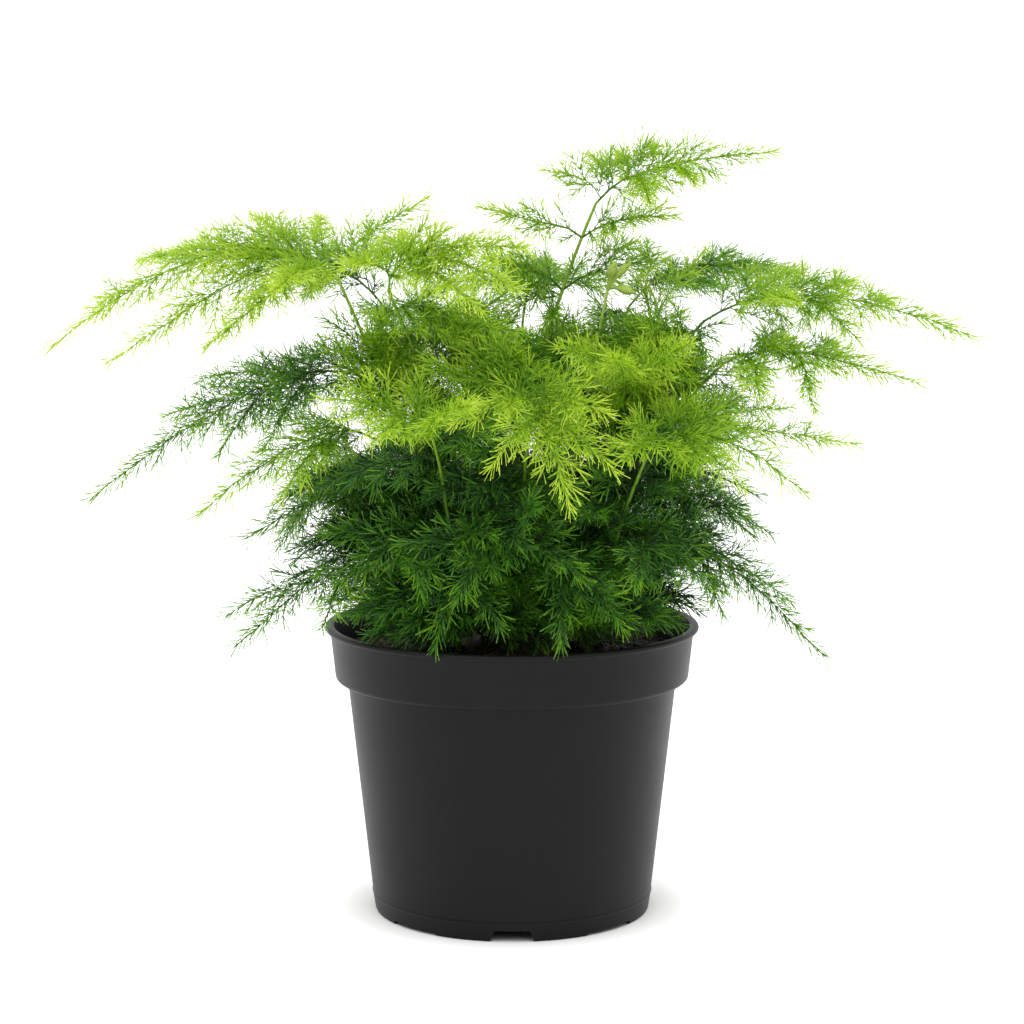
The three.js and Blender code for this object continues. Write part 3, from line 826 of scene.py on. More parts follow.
class NodeGroup:
    """A geometry node tree with named inputs, run on an object and baked."""

    def __init__(self, name: str, kinds: dict[str, str]) -> None:
        """Makes the tree and its sockets.

        Args:
            name: The tree's name.
            kinds: Kind of each input by name, the geometry first.
        """
        self.tree = bpy.data.node_groups.new(name, "GeometryNodeTree")
        face = self.tree.interface
        for key, kind in kinds.items():
            face.new_socket(key, in_out="INPUT", socket_type="NodeSocket" + kind)
        face.new_socket("Geometry", in_out="OUTPUT", socket_type="NodeSocketGeometry")
        self.keys = {s.name: s.identifier for s in face.items_tree if s.in_out == "INPUT"}
        self.inputs = add_node(self.tree, "NodeGroupInput").outputs

    def node(self, kind: str, values: dict | None = None, output: int | str = 0,
             **settings: object) -> Socket:
        """Adds a geometry or function node.

        Args:
            kind: The node's type name.
            values: For each input name or index, a socket or a constant.
            output: Name or index of the output.
            settings: Properties of the node itself.

        Returns:
            The output.
        """
        return joint(self.tree, kind, values, output, **settings)

    def vector(self, x: object = 0.0, y: object = 0.0, z: object = 0.0) -> Socket:
        """Joins three numbers.

        Args:
            x: First number or socket.
            y: Second.
            z: Third.

        Returns:
            The vector.
        """
        return self.node("ShaderNodeCombineXYZ", {0: x, 1: y, 2: z})

    def times(self, first: object, second: object) -> Socket:
        """Multiplies two numbers.

        Args:
            first: A socket or a number.
            second: A socket or a number.

        Returns:
            The product.
        """
        return maths(self.tree, "MULTIPLY", first, second)

    def chance(self, low: object, high: object, shift: int) -> Socket:
        """A seeded random number for each element.

        Args:
            low: Least value.
            high: Greatest value.
            shift: Added to the seed.

        Returns:
            The number.
        """
        seed = maths(self.tree, "ADD", self.inputs["Seed"], shift)
        return self.node("FunctionNodeRandomValue", {2: low, 3: high, 8: seed}, 1, data_type="FLOAT")

    def named(self, name: str) -> Socket:
        """Reads an attribute.

        Args:
            name: The attribute's name.

        Returns:
            Its value.
        """
        return self.node("GeometryNodeInputNamedAttribute", {"Name": name}, data_type="FLOAT")

    def stored(self, geometry: Socket, name: str, value: Socket, domain: str) -> Socket:
        """Stores an attribute.

        Args:
            geometry: What it is stored on.
            name: The attribute's name.
            value: Its value.
            domain: What it belongs to, such as "POINT".

        Returns:
            The geometry with it.
        """
        values = {"Geometry": geometry, "Name": name, "Value": value}
        return self.node("GeometryNodeStoreNamedAttribute", values, data_type="FLOAT", domain=domain)

    def skinned(self, geometry: Socket, skin: str) -> Socket:
        """Gives geometry a material.

        Args:
            geometry: The geometry.
            skin: Name of the input that holds the material.

        Returns:
            The geometry with it.
        """
        return self.node("GeometryNodeSetMaterial", {"Geometry": geometry, "Material": self.inputs[skin]})

    def joined(self, parts: tuple[Socket, ...]) -> Socket:
        """Joins geometries.

        Args:
            parts: The geometries.

        Returns:
            All of them.
        """
        made = add_node(self.tree, "GeometryNodeJoinGeometry")
        for part in parts:
            self.tree.links.new(part, made.inputs[0])
        return made.outputs[0]

    def run(self, source: Piece, name: str, values: dict[str, object]) -> Piece:
        """Runs the tree on an object.

        Args:
            source: The object. It is removed.
            name: The finished piece's name.
            values: The value of each named input.

        Returns:
            The finished plain object.
        """
        modifier = source.modifiers.new("group", "NODES")
        modifier.node_group = self.tree
        for key, value in values.items():
            modifier[self.keys[key]] = value
        source.update_tag()
        bpy.context.view_layer.update()
        return baked(source, name)


class SprayTree(NodeGroup):
    """Turns twigs into tubes with a ring of needles every step along them."""

    LEAST_BEARING = 0.05  # twigs with smaller needles than this share stay bare
    # the ends of a needle one unit long: an edge across its base, and a shorter one the other way at its tip
    SPIKE = ((1, 0, 0), (-1, 0, 0), (0, 0.7, 1), (0, -0.7, 1))

    def __init__(self, sides: int) -> None:
        """Builds the tree.

        Args:
            sides: Sides of a twig's tube.
        """
        super().__init__("needle_spray", {
            "Twigs": "Geometry", "Spacing": "Float", "Needles": "Int", "Length": "Float", "Radius": "Float",
            "Least tilt": "Float", "Most tilt": "Float", "Seed": "Int", "Twig skin": "Material",
            "Needle skin": "Material"})
        inputs, girth, bearing = self.inputs, self.named("girth"), self.named("bearing")
        curve = self.node("GeometryNodeMeshToCurve", {0: inputs["Twigs"]})
        tubes = self.skinned(self._tubes(curve, girth, sides), "Twig skin")

        spots = add_node(self.tree, "GeometryNodeCurveToPoints",
                         {"Curve": curve, "Length": inputs["Spacing"]}, mode="LENGTH")
        bare = self.node("FunctionNodeCompare", {0: bearing, 1: self.LEAST_BEARING},
                         data_type="FLOAT", operation="LESS_THAN")
        kept = self.node("GeometryNodeDeleteGeometry",
                         {"Geometry": spots.outputs["Points"], "Selection": bare}, domain="POINT")
        many = add_node(self.tree, "GeometryNodeDuplicateElements",
                        {"Geometry": kept, "Amount": inputs["Needles"]}, domain="POINT").outputs
        share = maths(self.tree, "ADD", many["Duplicate Index"], self.chance(0.0, 1.0, 1))
        turn = self.times(maths(self.tree, "DIVIDE", share, inputs["Needles"]), 2 * math.pi)
        tilt = self.times(self.chance(inputs["Least tilt"], inputs["Most tilt"], 2), self.named("spread"))
        around = self._turned(spots.outputs["Rotation"], self.vector(z=turn))
        length = self.times(self.times(inputs["Length"], bearing), self.chance(0.72, 1.18, 3))
        radius = self.times(inputs["Radius"], self.chance(0.85, 1.15, 4))
        placed = self.node("GeometryNodeInstanceOnPoints", {
            "Points": many[0], "Instance": self._spike(), "Scale": self.vector(radius, radius, length),
            "Rotation": self._turned(around, self.vector(x=tilt))})
        tinted = self.stored(placed, "tint", self.chance(0.0, 1.0, 5), "INSTANCE")
        needles = self.skinned(self.node("GeometryNodeRealizeInstances", {"Geometry": tinted}), "Needle skin")
        add_node(self.tree, "NodeGroupOutput", {0: self.joined((needles, tubes))})

    def _tubes(self, curve: Socket, girth: Socket, sides: int) -> Socket:
        """Sweeps a small ring along each twig.

        Args:
            curve: The twigs' curves.
            girth: Their radius.
            sides: Sides of the ring.

        Returns:
            The tubes.
        """
        sized = self.node("GeometryNodeSetCurveRadius", {"Curve": curve, "Radius": girth})
        ring = self.node("GeometryNodeCurvePrimitiveCircle", {"Resolution": sides, "Radius": 1.0})
        swept = add_node(self.tree, "GeometryNodeCurveToMesh",
                         {"Curve": sized, "Profile Curve": ring, "Fill Caps": True})
        if "Scale" in swept.inputs:
            self.tree.links.new(girth, swept.inputs["Scale"])
        return swept.outputs[0]

    def _turned(self, rotation: Socket, angles: Socket) -> Socket:
        """Turns a rotation about its own axes.

        Args:
            rotation: The rotation.
            angles: How far, about X, Y and Z.

        Returns:
            The new rotation.
        """
        extra = self.node("FunctionNodeEulerToRotation", {0: angles})
        return self.node("FunctionNodeRotateRotation", {0: rotation, 1: extra}, rotation_space="LOCAL")

    def _spike(self) -> Socket:
        """One needle as a closed body of four faces, with its height stored on its points.

        Returns:
            Its geometry, one unit long.
        """
        sizes = {"Vertices": 3, "Radius Top": 0.0, "Radius Bottom": 1.0, "Depth": 1.0}
        block = self.node("GeometryNodeMeshCone", sizes)
        corner = add_node(self.tree, "GeometryNodeIndexSwitch", data_type="VECTOR")
        while len(corner.index_switch_items) < len(self.SPIKE):
            corner.index_switch_items.new()
        self.tree.links.new(self.node("GeometryNodeInputIndex"), corner.inputs[0])
        for i, place in enumerate(self.SPIKE):
            corner.inputs[i + 1].default_value = place
        spike = self.node("GeometryNodeSetPosition", {"Geometry": block, "Position": corner.outputs[0]})
        height = self.node("ShaderNodeSeparateXYZ", {0: self.node("GeometryNodeInputPosition")}, 2)
        return self.stored(spike, "along", height, "POINT")

    def grow(self, twigs: Twigs, name: str, values: dict[str, object]) -> Piece:
        """Runs the tree on some twigs.

        Args:
            twigs: The twigs.
            name: The piece's name.
            values: The value of each named input.

        Returns:
            The finished plain object.
        """
        return self.run(shown(twigs.mesh(name + "_twigs"), name + "_source"), name, values)


# ------------------------------------------------------------------ pot
class Notch(Enum):
    """Kinds of notch in the pot's foot: width at the ground and height, in millimetres."""

    NARROW = (15.0, 3.9)
    WIDE = (21.0, 1.3)


@dataclass(frozen=True)
class PotSize:
    """The nursery pot, in millimetres."""

    height: float = 101.0
    lip_radius: float = 65.0
    lip_height: float = 2.0
    collar_top: float = 63.2
    collar_foot: float = 61.6
    collar_z: float = 82.0
    body_top: float = 57.3
    base: float = 48.2
    wall: float = 1.4
    floor_z: float = 4.0
    foot_width: float = 2.6
    notches: tuple[Notch, Notch] = (Notch.NARROW, Notch.WIDE)  # in turn round the foot, the first in front
    drain_radius: float = 3.5
    drain_circle: float = 38.0
    segments: int = 192
    drain_segments: int = 24
    # the moulded ring low on the wall: height, and how far it stands out
    ridge: tuple[tuple[float, float], ...] = (
        (3.0, 0), (5.6, 0), (6.1, 0.06), (6.35, 0.2), (6.5, 0.26), (6.65, 0.22), (6.9, 0.06), (7.5, 0))


class Pot:
    """Round nursery pot with a rolled lip, a collar, a moulded ring and a notched foot."""

    def __init__(self, size: PotSize, finish: PlasticFinish) -> None:
        """Keeps the sizes.

        Args:
            size: The pot's sizes.
            finish: Its plastic.
        """
        self.size, self.finish = size, finish

    def outer(self, z: float) -> float:
        """Radius of the outer wall.

        Args:
            z: Height.

        Returns:
            The radius there.
        """
        s = self.size
        return s.base + (s.body_top - s.base) * z / s.collar_z

    def profile(self) -> list[tuple[float, float]]:
        """Half section of the pot, from the axis under the floor, up the outside and down the inside.

        Returns:
            Radius and height of each point.
        """
        s = self.size
        top = s.floor_z + s.wall
        heel, shelf, foot, under = s.base - s.foot_width, s.collar_z, s.collar_foot, s.height - s.lip_height
        points: list[tuple[float, float]] = [(0, s.floor_z), (heel - 0.4, s.floor_z), (heel, s.floor_z - 0.4)]
        points += [(heel, 0.3), (heel + 0.3, 0), (s.base - 0.9, 0), (s.base - 0.3, 0.25), (s.base, 0.9)]
        points += [(self.outer(z) + out, z) for z, out in s.ridge]
        points += [(self.outer(z), z) for z in np.linspace(14, 78, 9)]
        neck = s.body_top
        points += [(neck - 0.1, shelf - 0.9), (neck + 0.1, shelf - 0.3), (neck + 0.6, shelf)]
        points += [(foot - 1.6, shelf), (foot - 0.9, shelf + 0.12), (foot - 0.4, shelf + 0.5)]
        points += [(foot - 0.08, shelf + 1.1), (foot, shelf + 1.9)]
        flare, rise = s.collar_top - foot, under - 2.4 - shelf
        points += [(foot + flare * k, shelf + 1.9 + rise * k) for k in (0.33, 0.66, 1)]
        points += [(s.collar_top + 0.1, under - 0.2), (s.collar_top + 0.45, under)]
        for angle in range(-75, 100, 25):
            a = math.radians(angle)
            points.append((s.lip_radius - 1.0 + math.cos(a), s.height - 1.0 + math.sin(a)))
        inner = s.collar_top - s.wall
        points += [(inner + 0.7, s.height), (inner + 0.2, s.height - 0.25), (inner, s.height - 0.9)]
        points += [(foot - s.wall, shelf + 3), (s.body_top - s.wall, shelf - 1.4)]
        points += [(self.outer(z) - s.wall, z) for z in (60, 40, 20, top + 2)]
        points += [(self.outer(top) - s.wall - 1.6, top), (0, top)]
        return points

    def body(self) -> bpy.types.Mesh:
        """Spins the section into a closed mesh.

        Returns:
            The mesh, in metres.
        """
        turns = [2 * math.pi * i / self.size.segments for i in range(self.size.segments)]
        made = bmesh.new()
        skin(made, [ringed(made, [(r * math.cos(a), r * math.sin(a), z) for a in (turns if r else (0.0,))])
                    for r, z in self.profile()])
        return closed(made, "pot_body")

    def cutters(self) -> Piece:
        """Wedges for the foot's notches and plugs for the drain holes.

        Returns:
            One object that holds them all.
        """
        s = self.size
        made = bmesh.new()
        for i in range(8):
            turn = -math.pi / 2 + i * math.pi / 4
            out = Vector((math.cos(turn), math.sin(turn), 0))
            side = Vector((-out.y, out.x, 0))
            width, high = s.notches[i % 2].value
            edge = width / 2
            half = [(edge + 0.3, -1), (edge, 0), (edge - high * 0.27, high * 0.8), (edge - high * 0.45, high)]
            section = [(-edge - 0.3, -1), *half, *[(-x, z) for x, z in reversed(half[1:])]]
            near, far = (ringed(made, [out * r + side * x + Vector((0, 0, z)) for x, z in section])
                         for r in (s.base - 5.5, s.base + 8))
            skin(made, [far, near], capped=True)
            angles = np.linspace(0, 2 * math.pi, s.drain_segments, endpoint=False)
            centre = out * s.drain_circle
            rim = [centre + Vector((math.cos(a), math.sin(a), 0)) * s.drain_radius for a in angles]
            levels = (s.floor_z - 3, s.floor_z + 4)
            skin(made, [ringed(made, [p + Vector((0, 0, z)) for p in rim]) for z in levels], capped=True)
        return shown(closed(made, "pot_cutters"), "pot_cutters")

    def build(self) -> Piece:
        """Builds the pot and ties it to the frame.

        Returns:
            The pot.
        """
        source = shown(self.body(), "pot_source")
        tools = self.cutters()
        cut = source.modifiers.new("cut", "BOOLEAN")
        cut.operation, cut.solver, cut.object = "DIFFERENCE", "EXACT", tools
        pot = baked(source, "nursery_pot")
        bpy.data.objects.remove(tools)
        pot.data.materials.append(self.finish.build())
        pot.data.shade_smooth()
        pot.data.set_sharp_from_angle(angle=math.radians(38))
        settle(pot, "pot")
        return pot


# ------------------------------------------------------------------ mix and crown
@dataclass(frozen=True)
class MixSize:
    """The potting mix, in millimetres."""

    edge_z: float = 91.0
    centre_z: float = 93.5
    inner_radius: float = 60.0
    floor: float = 5.7
    rings: int = 46
    spokes: int = 150
    grains: float = 150000.0
    seed: int = 11


class PottingMix:
    """Crumbly mix with an uneven top and loose grains, bark and straw on it."""

    def __init__(self, size: MixSize, pot: Pot, finish: MixFinish) -> None:
        """Keeps the sizes.

        Args:
            size: The mix's sizes.
            pot: The pot that holds it.
            finish: Its look.
        """
        self.size, self.pot, self.finish = size, pot, finish
        rng = np.random.default_rng(size.seed)
        turn = 2 * math.pi
        self.waves = [(rng.uniform(0.04, 0.5), rng.uniform(0, turn), rng.uniform(0, turn)) for _ in range(26)]

    def top(self, x: Vec, y: Vec) -> Vec:
        """Height of the top.

        Args:
            x: Across, in millimetres.
            y: Deep, in millimetres.

        Returns:
            Heights in millimetres.
        """
        s = self.size
        r = np.hypot(x, y)
        edge = s.edge_z
        heights = [s.centre_z, s.centre_z, edge + 1.6, edge + 0.9, edge + 0.4, edge - 0.4]
        z = np.interp(r, [0, 26, 38, 46, 54, 61], heights)
        for k, turn, phase in self.waves:
            along = x * math.cos(turn) + y * math.sin(turn)
            z = z + 0.17 / (0.35 + k) * 0.45 * np.sin(k * along * 2 + phase)
        return z

    def bed(self) -> bpy.types.Mesh:
        """The closed body of the mix.

        Returns:
            The mesh, in metres.
        """
        s, pot = self.size, self.pot
        made = bmesh.new()
        angles = np.linspace(0, 2 * math.pi, s.spokes, endpoint=False)
        centre = made.verts.new((0, 0, float(self.top(np.array(0.0), np.array(0.0))) * MM))
        rings = []
        for r in s.inner_radius * np.linspace(0, 1, s.rings + 1)[1:]:
            x, y = r * np.cos(angles), r * np.sin(angles)
            rings.append(ringed(made, zip(x, y, self.top(x, y))))
        wall, low = pot.size.wall + 0.3, s.floor
        for r, z in ((pot.size.collar_foot - wall, 85.2), (pot.size.body_top - wall, 80.3),
                     (pot.outer(low + 2.2) - wall, low + 2.2), (pot.outer(low) - wall - 1.6, low)):
            rings.append(ringed(made, [(r * math.cos(a), r * math.sin(a), z) for a in angles]))
        bottom = made.verts.new((0, 0, low * MM))
        for i in range(s.spokes):
            j = (i + 1) % s.spokes
            made.faces.new((centre, rings[0][i], rings[0][j]))
            for inner, outer in zip(rings, rings[1:]):
                made.faces.new((inner[i], outer[i], outer[j], inner[j]))
            made.faces.new((bottom, rings[-1][j], rings[-1][i]))
        mesh = closed(made, "mix_bed")
        tone = mesh.attributes.new("tone", "FLOAT", "POINT")
        rng = np.random.default_rng(s.seed + 1)
        tone.data.foreach_set("value", rng.uniform(0.0, 0.62, len(mesh.vertices)).astype(np.float32))
        return mesh

    def build(self) -> Piece:
        """Builds the mix and ties it to the frame.

        Returns:
            The mix.
        """
        source = shown(self.bed(), "mix_source")
        values = {"Density": self.size.grains, "Seed": self.size.seed, "Skin": self.finish.build()}
        mix = ScatterTree().run(source, "potting_mix_top", values)
        settle(mix, "potting_mix")
        return mix


@dataclass(frozen=True)
class Bits:
    """One kind of bit in the mix: scales along X, Y and Z in metres, and tones."""

    share: float  # of the density of grains
    sizes: tuple[tuple[float, float], ...]
    tones: tuple[float, float]
    shift: int  # added to the seed


class ScatterTree(NodeGroup):
    """Strews grains, chips and straw over the upper side of a bed."""

    GRAINS = Bits(1.0, ((0.0004, 0.0017), (0.0003, 0.0012), (0.0003, 0.0009)), (0.1, 0.93), 10)
    CHIPS = Bits(0.12, ((0.0009, 0.0035), (0.0006, 0.0018), (0.0003, 0.0008)), (0.35, 0.97), 30)
    STRAW = Bits(0.16, ((0.00012, 0.0003), (0.003, 0.011), (0.00012, 0.0003)), (0.72, 1.0), 50)
    LEAST_UP = 0.4  # faces whose normals rise less than this stay bare
    SKEW = 2.2  # most bits are near their least size

    def __init__(self) -> None:
        """Builds the tree."""
        kinds = {"Bed": "Geometry", "Density": "Float", "Seed": "Int", "Skin": "Material"}
        super().__init__("mix_scatter", kinds)
        up = self.node("ShaderNodeSeparateXYZ", {0: self.node("GeometryNodeInputNormal")}, 2)
        self.high = self.node("FunctionNodeCompare", {0: up, 1: self.LEAST_UP},
                              data_type="FLOAT", operation="GREATER_THAN")
        ball = self.node("GeometryNodeMeshIcoSphere", {"Radius": 1.0, "Subdivisions": 1})
        stick = self.node("GeometryNodeMeshCylinder", {"Vertices": 5, "Radius": 1.0, "Depth": 1.0})
        laid = self.node("GeometryNodeTransform", {"Geometry": stick, "Rotation": (math.pi / 2, 0, 0)})
        pairs = ((ball, self.GRAINS), (ball, self.CHIPS), (laid, self.STRAW))
        strewn = [self._strewn(*pair) for pair in pairs]
        everything = self.joined((self.inputs["Bed"], *strewn))
        add_node(self.tree, "NodeGroupOutput", {0: self.skinned(everything, "Skin")})

    def _strewn(self, shape: Socket, bits: Bits) -> Socket:
        """Strews one kind of bit at random.

        Args:
            shape: The bit.
            bits: Its numbers.

        Returns:
            The realized geometry.
        """
        shift = bits.shift
        dots = self.node("GeometryNodeDistributePointsOnFaces", {
            "Mesh": self.inputs["Bed"], "Selection": self.high,
            "Density": self.times(self.inputs["Density"], bits.share),
            "Seed": maths(self.tree, "ADD", self.inputs["Seed"], shift)})
        turn = self.vector(self.chance(-0.5, 0.5, shift + 1), self.chance(-0.5, 0.5, shift + 2),
                           self.chance(0, 6.28, shift + 3))
        large = maths(self.tree, "POWER", self.chance(0.0, 1.0, shift + 4), self.SKEW)
        scale = [self.node("ShaderNodeMath", {0: large, 1: high - low, 2: low}, operation="MULTIPLY_ADD")
                 for low, high in bits.sizes]
        placed = self.node("GeometryNodeInstanceOnPoints", {
            "Points": dots, "Instance": shape, "Rotation": turn, "Scale": self.vector(*scale)})
        toned = self.stored(placed, "tone", self.chance(*bits.tones, shift + 5), "INSTANCE")
        return self.node("GeometryNodeRealizeInstances", {"Geometry": toned})


@dataclass(frozen=True)
class CrownSize:
    """The woody crown, in millimetres."""

    radius: float = 31.0
    rise: float = 2.6
    half_height: float = 9.0
    soil_z: float = 93.5
    root_start: float = 14.0  # from the axis
    root_top: float = 88.0
    root_steps: int = 22
    root_sides: int = 12


class Crown:
    """Woody crown just out of the mix, with eight fleshy roots below."""

    # way out in degrees, reach and drop in millimetres
    ROOTS = ((10, 22, 26), (55, 18, 40), (100, 20, 22), (145, 17, 44),
             (190, 22, 30), (235, 18, 42), (280, 20, 24), (325, 17, 46))
    ROOT_GIRTH = ((0, 2.6), (0.6, 2.4), (0.8, 3.2), (1, 0.6))

    def __init__(self, size: CrownSize, finish: RootFinish) -> None:
        """Keeps the sizes.

        Args:
            size: The crown's sizes.
            finish: Its look.
        """
        self.size, self.finish = size, finish

    def top(self, x: float, y: float) -> float:
        """Height of the crown's surface.

        Args:
            x: Across, in millimetres.
            y: Deep, in millimetres.

        Returns:
            Height in millimetres.
        """
        s = self.size
        share = min(1.0, math.hypot(x, y) / s.radius)
        return s.soil_z + s.rise - s.half_height + s.half_height * math.sqrt(1 - share * share)

    def build(self) -> Piece:
        """Builds the crown with its roots and ties it to the frame.

        Returns:
            The crown.
        """
        s = self.size
        rng = np.random.default_rng(5)
        made = bmesh.new()
        bmesh.ops.create_icosphere(made, subdivisions=5, radius=1.0)
        knobs = [(unit(rng.normal(size=3)), rng.uniform(0.10, 0.22)) for _ in range(60)]
        middle = s.soil_z + s.rise - s.half_height
        for v in made.verts:
            d = np.array(v.co)
            swell = sum(0.05 * math.exp(-((1 - float(d @ k)) / (w * w))) for k, w in knobs)
            p = d * (1 - 0.04 + swell)
            height = middle + p[2] * s.half_height * 0.98
            v.co = Vector((p[0] * s.radius * MM, p[1] * s.radius * MM, height * MM))
        for degrees, reach, drop in self.ROOTS:
            a = math.radians(degrees)
            out = np.array([math.cos(a), math.sin(a), 0])
            start = out * s.root_start + [0, 0, s.root_top]
            end = out * (s.root_start + reach) + [0, 0, s.root_top - 4 - drop]
            arc = Arc.over(start, end, 5)
            side = np.array([-out[1], out[0], 0])
            rings = []
            for t in np.linspace(0, 1, s.root_steps):
                r = look_up(self.ROOT_GIRTH, t) * (1 + 0.06 * math.sin(t * 60 + degrees))
                up = np.cross(side, arc.tangent(t))
                turns = np.linspace(0, 2 * math.pi, s.root_sides, endpoint=False)
                round_it = [(side * math.cos(b) + up * math.sin(b)) * r for b in turns]
                rings.append(ringed(made, [arc.at(t) + away for away in round_it]))
            skin(made, rings, capped=True)
        mesh = closed(made, "crown")
        mesh.materials.append(self.finish.build())
        mesh.shade_smooth()
        crown = shown(mesh, "woody_crown")
        settle(crown, "rootstock")
        return crown


# ------------------------------------------------------------------ stems
class Stem:
    """One wiry stem with small bracts."""

    def __init__(self, row: list, crown: Crown) -> None:
        """Reads the stem's row.

        Args:
            row: Name, base, middle, top, foot radius and age.
            crown: The crown it grows from.
        """
        name, base, middle, top, radius, age = row
        self.name, self.radius, self.age = name, radius, age
        foot = np.array([base[0], base[1], crown.top(*base) - 4.0])
        self.arc = Arc.through(foot, np.array(middle, float), np.array(top, float))

    def twigs(self, rng: np.random.Generator) -> Twigs:
        """The stem's line and its bracts.

        Args:
            rng: Source of chance.

        Returns:
            The lines.
        """
        made = Twigs()
        t = np.linspace(0, 1, 28)
        line = self.arc.at(t)
        sway = np.cumsum(rng.normal(0, 0.16, (28, 3)), axis=0) * np.sin(np.pi * t)[:, None]
        line = line + sway * 0.7
        made.add(line, (self.radius * 0.85, self.radius * 0.45), (self.age - 0.1, self.age + 0.12), (0, 0))
        for share in np.arange(0.1, 1.0, 15.0 / self.arc.length):
            at = self.arc.at(share)
            out = unit(rng.normal(size=3) * [1, 1, 0.2])
            along = self.arc.tangent(float(share))
            tip = at + out * (self.radius * 0.8 + 0.5) + along * 1.9
            made.add(np.array([at + out * self.radius * 0.3, tip]), (0.42, 0.06), (0.15, 0.3), (0, 0))
        return made


class Wand:
    """The new shoot: a bare pale wand with three swollen buds."""

    BUDS = (((35, -7, 227), 2.0), ((40.5, -8, 227), 1.6), ((42, -9, 216.5), 1.8))  # tip and radius
    SWELL = ((0, 0.3), (0.35, 0.32), (0.5, 0.66), (0.65, 0.9), (0.8, 0.8), (0.92, 0.45), (1, 0.08))

    def __init__(self, crown: Crown) -> None:
        """Places the wand.

        Args:
            crown: The crown it grows from.
        """
        self.stem = Stem(["new_shoot", [9, -4], [22, -5, 158], [33, -5, 219], 1.1, 0.9], crown)

    def twigs(self, rng: np.random.Generator) -> Twigs:
        """The wand, its bracts and its buds.

        Args:
            rng: Source of chance.

        Returns:
            The lines.
        """
        made = self.stem.twigs(rng)
        for tip, radius in self.BUDS:
            start = self.stem.arc.at(0.985)
            arc = Arc.over(start, np.array(tip, float), 0, self.stem.arc.tangent(1.0), 0.5)
            t = np.linspace(0, 1, 14)
            made.add(arc.at(t), (1, 1), (0.85, 1.0), (0, 0))
            made.girth[-1] = np.array([radius * look_up(self.SWELL, float(k)) for k in t])
            for k in range(9):
                at = arc.at(0.44 + 0.055 * k)
                around = 2.4 * k
                along = arc.tangent(0.5)
                side = unit(np.cross(along, [0, 1, 0.1]))
                out = side * math.cos(around) + np.cross(along, side) * math.sin(around)
                bract = [at + out * radius * wide + along * far
                         for wide, far in ((0.35, 0), (0.75, 0.9), (0.6, 2.0))]
                made.add(np.array(bract), (0.5, 0.05), (0.6, 1.0), (0, 0))
        return made


# ------------------------------------------------------------------ sprays
@dataclass(frozen=True)
class SprayHabit:
    """How sprays branch, in millimetres and degrees."""

    widen: float = 1.65  # how much further side twigs reach than the plain blade of the frame
    step: float = 3.4  # between side twigs, both sides counted
    fork_step: float = 3.6  # between forks of a side twig
    fork_from: float = 8.0  # shortest side twig that forks
    shortest: float = 2.4  # side twigs shorter than this are left out
    angle_base: float = 56.0
    angle_tip: float = 30.0


# how far side twigs reach along a plume, as a share of its half width
OUTLINE = ((0.0, 0.65), (0.12, 0.95), (0.3, 1.0), (0.55, 0.72), (0.8, 0.34), (0.95, 0.1), (1.0, 0.0))


@dataclass(frozen=True)
class Sideshoot:
    """A small plume straight off a stem, in millimetres."""

    path: Arc
    half: float
    age: float


class Thicket:
    """The small plumes that fill the plant's middle, each off some stem within reach."""

    CORES = (  # middle and half sizes of the full parts, and their share of the plumes
        ((-2, -4, 136), (70, 46, 34), 0.22),
        ((-54, -8, 140), (32, 36, 22), 0.06),
        ((46, -6, 140), (34, 34, 22), 0.09),
        ((4, -46, 142), (24, 16, 18), 0.04),
        ((-8, -12, 186), (56, 44, 26), 0.14),
        ((-2, -34, 208), (22, 26, 14), 0.03),
        ((54, -12, 184), (32, 34, 22), 0.11),
        ((0, 36, 160), (52, 20, 34), 0.1),
        ((0, 38, 118), (44, 18, 12), 0.05),
        ((2, -38, 114), (52, 20, 15), 0.12),
        ((-40, -24, 110), (26, 28, 9), 0.09),
        ((42, -24, 110), (26, 28, 9), 0.09),
        ((-40, -14, 202), (26, 24, 13), 0.05),
    )
    NEAREST, FARTHEST = 20, 46  # how far a plume may reach from its stem, in millimetres
    LOWEST_OVER_MIX, LOWEST_OVER_RIM, RIM = 103, 100, 66
    AGES = ((100, 0.07), (150, 0.12), (168, 0.24), (190, 0.46), (225, 0.58))  # by height

    def __init__(self, stems: dict[str, "Stem"], count: int, seed: int) -> None:
        """Chooses the plumes.

        Args:
            stems: All stems by name.
            count: How many plumes.
            seed: Seed of the choice.
        """
        rng = np.random.default_rng(seed)
        weights = np.array([core[2] for core in self.CORES])
        names = list(stems)
        shares = np.linspace(0.12, 0.96, 40)
        places = np.array([stems[n].arc.at(shares) for n in names])
        self.shoots: dict[str, list[Sideshoot]] = {n: [] for n in names}
        made = 0
        while made < count:
            middle, half, _ = self.CORES[rng.choice(len(self.CORES), p=weights / weights.sum())]
            ball = rng.normal(size=3)
            tip = np.array(middle) + unit(ball) * rng.random() ** (1 / 3) * np.array(half)
            over_mix = math.hypot(tip[0], tip[1]) < self.RIM
            if tip[2] < (self.LOWEST_OVER_MIX if over_mix else self.LOWEST_OVER_RIM):
                continue
            gap = tip - places
            far = np.linalg.norm(gap, axis=2)
            rise = gap[:, :, 2]
            fits = (far > self.NEAREST) & (far < self.FARTHEST) & (rise > -14) & (rise < 0.75 * far)
            if not fits.any():
                continue
            which, where = rng.choice(np.argwhere(fits))
            stem = stems[names[which]]
            path = Arc.over(places[which, where], tip, 5, stem.arc.tangent(float(shares[where])), 0.35)
            age = look_up(self.AGES, tip[2]) + rng.normal(0, 0.05)
            # painted shade: plumes low in the plant's middle get a lower age, so a darker green, standing in
            # for the shade inside the foliage
            age -= 0.14 * max(0.0, 1 - math.hypot(tip[0] / 60, tip[1] / 45)) * (1.0 if tip[2] < 175 else 0.0)
            self.shoots[names[which]].append(Sideshoot(path, rng.uniform(5.0, 7.0), age))
            made += 1


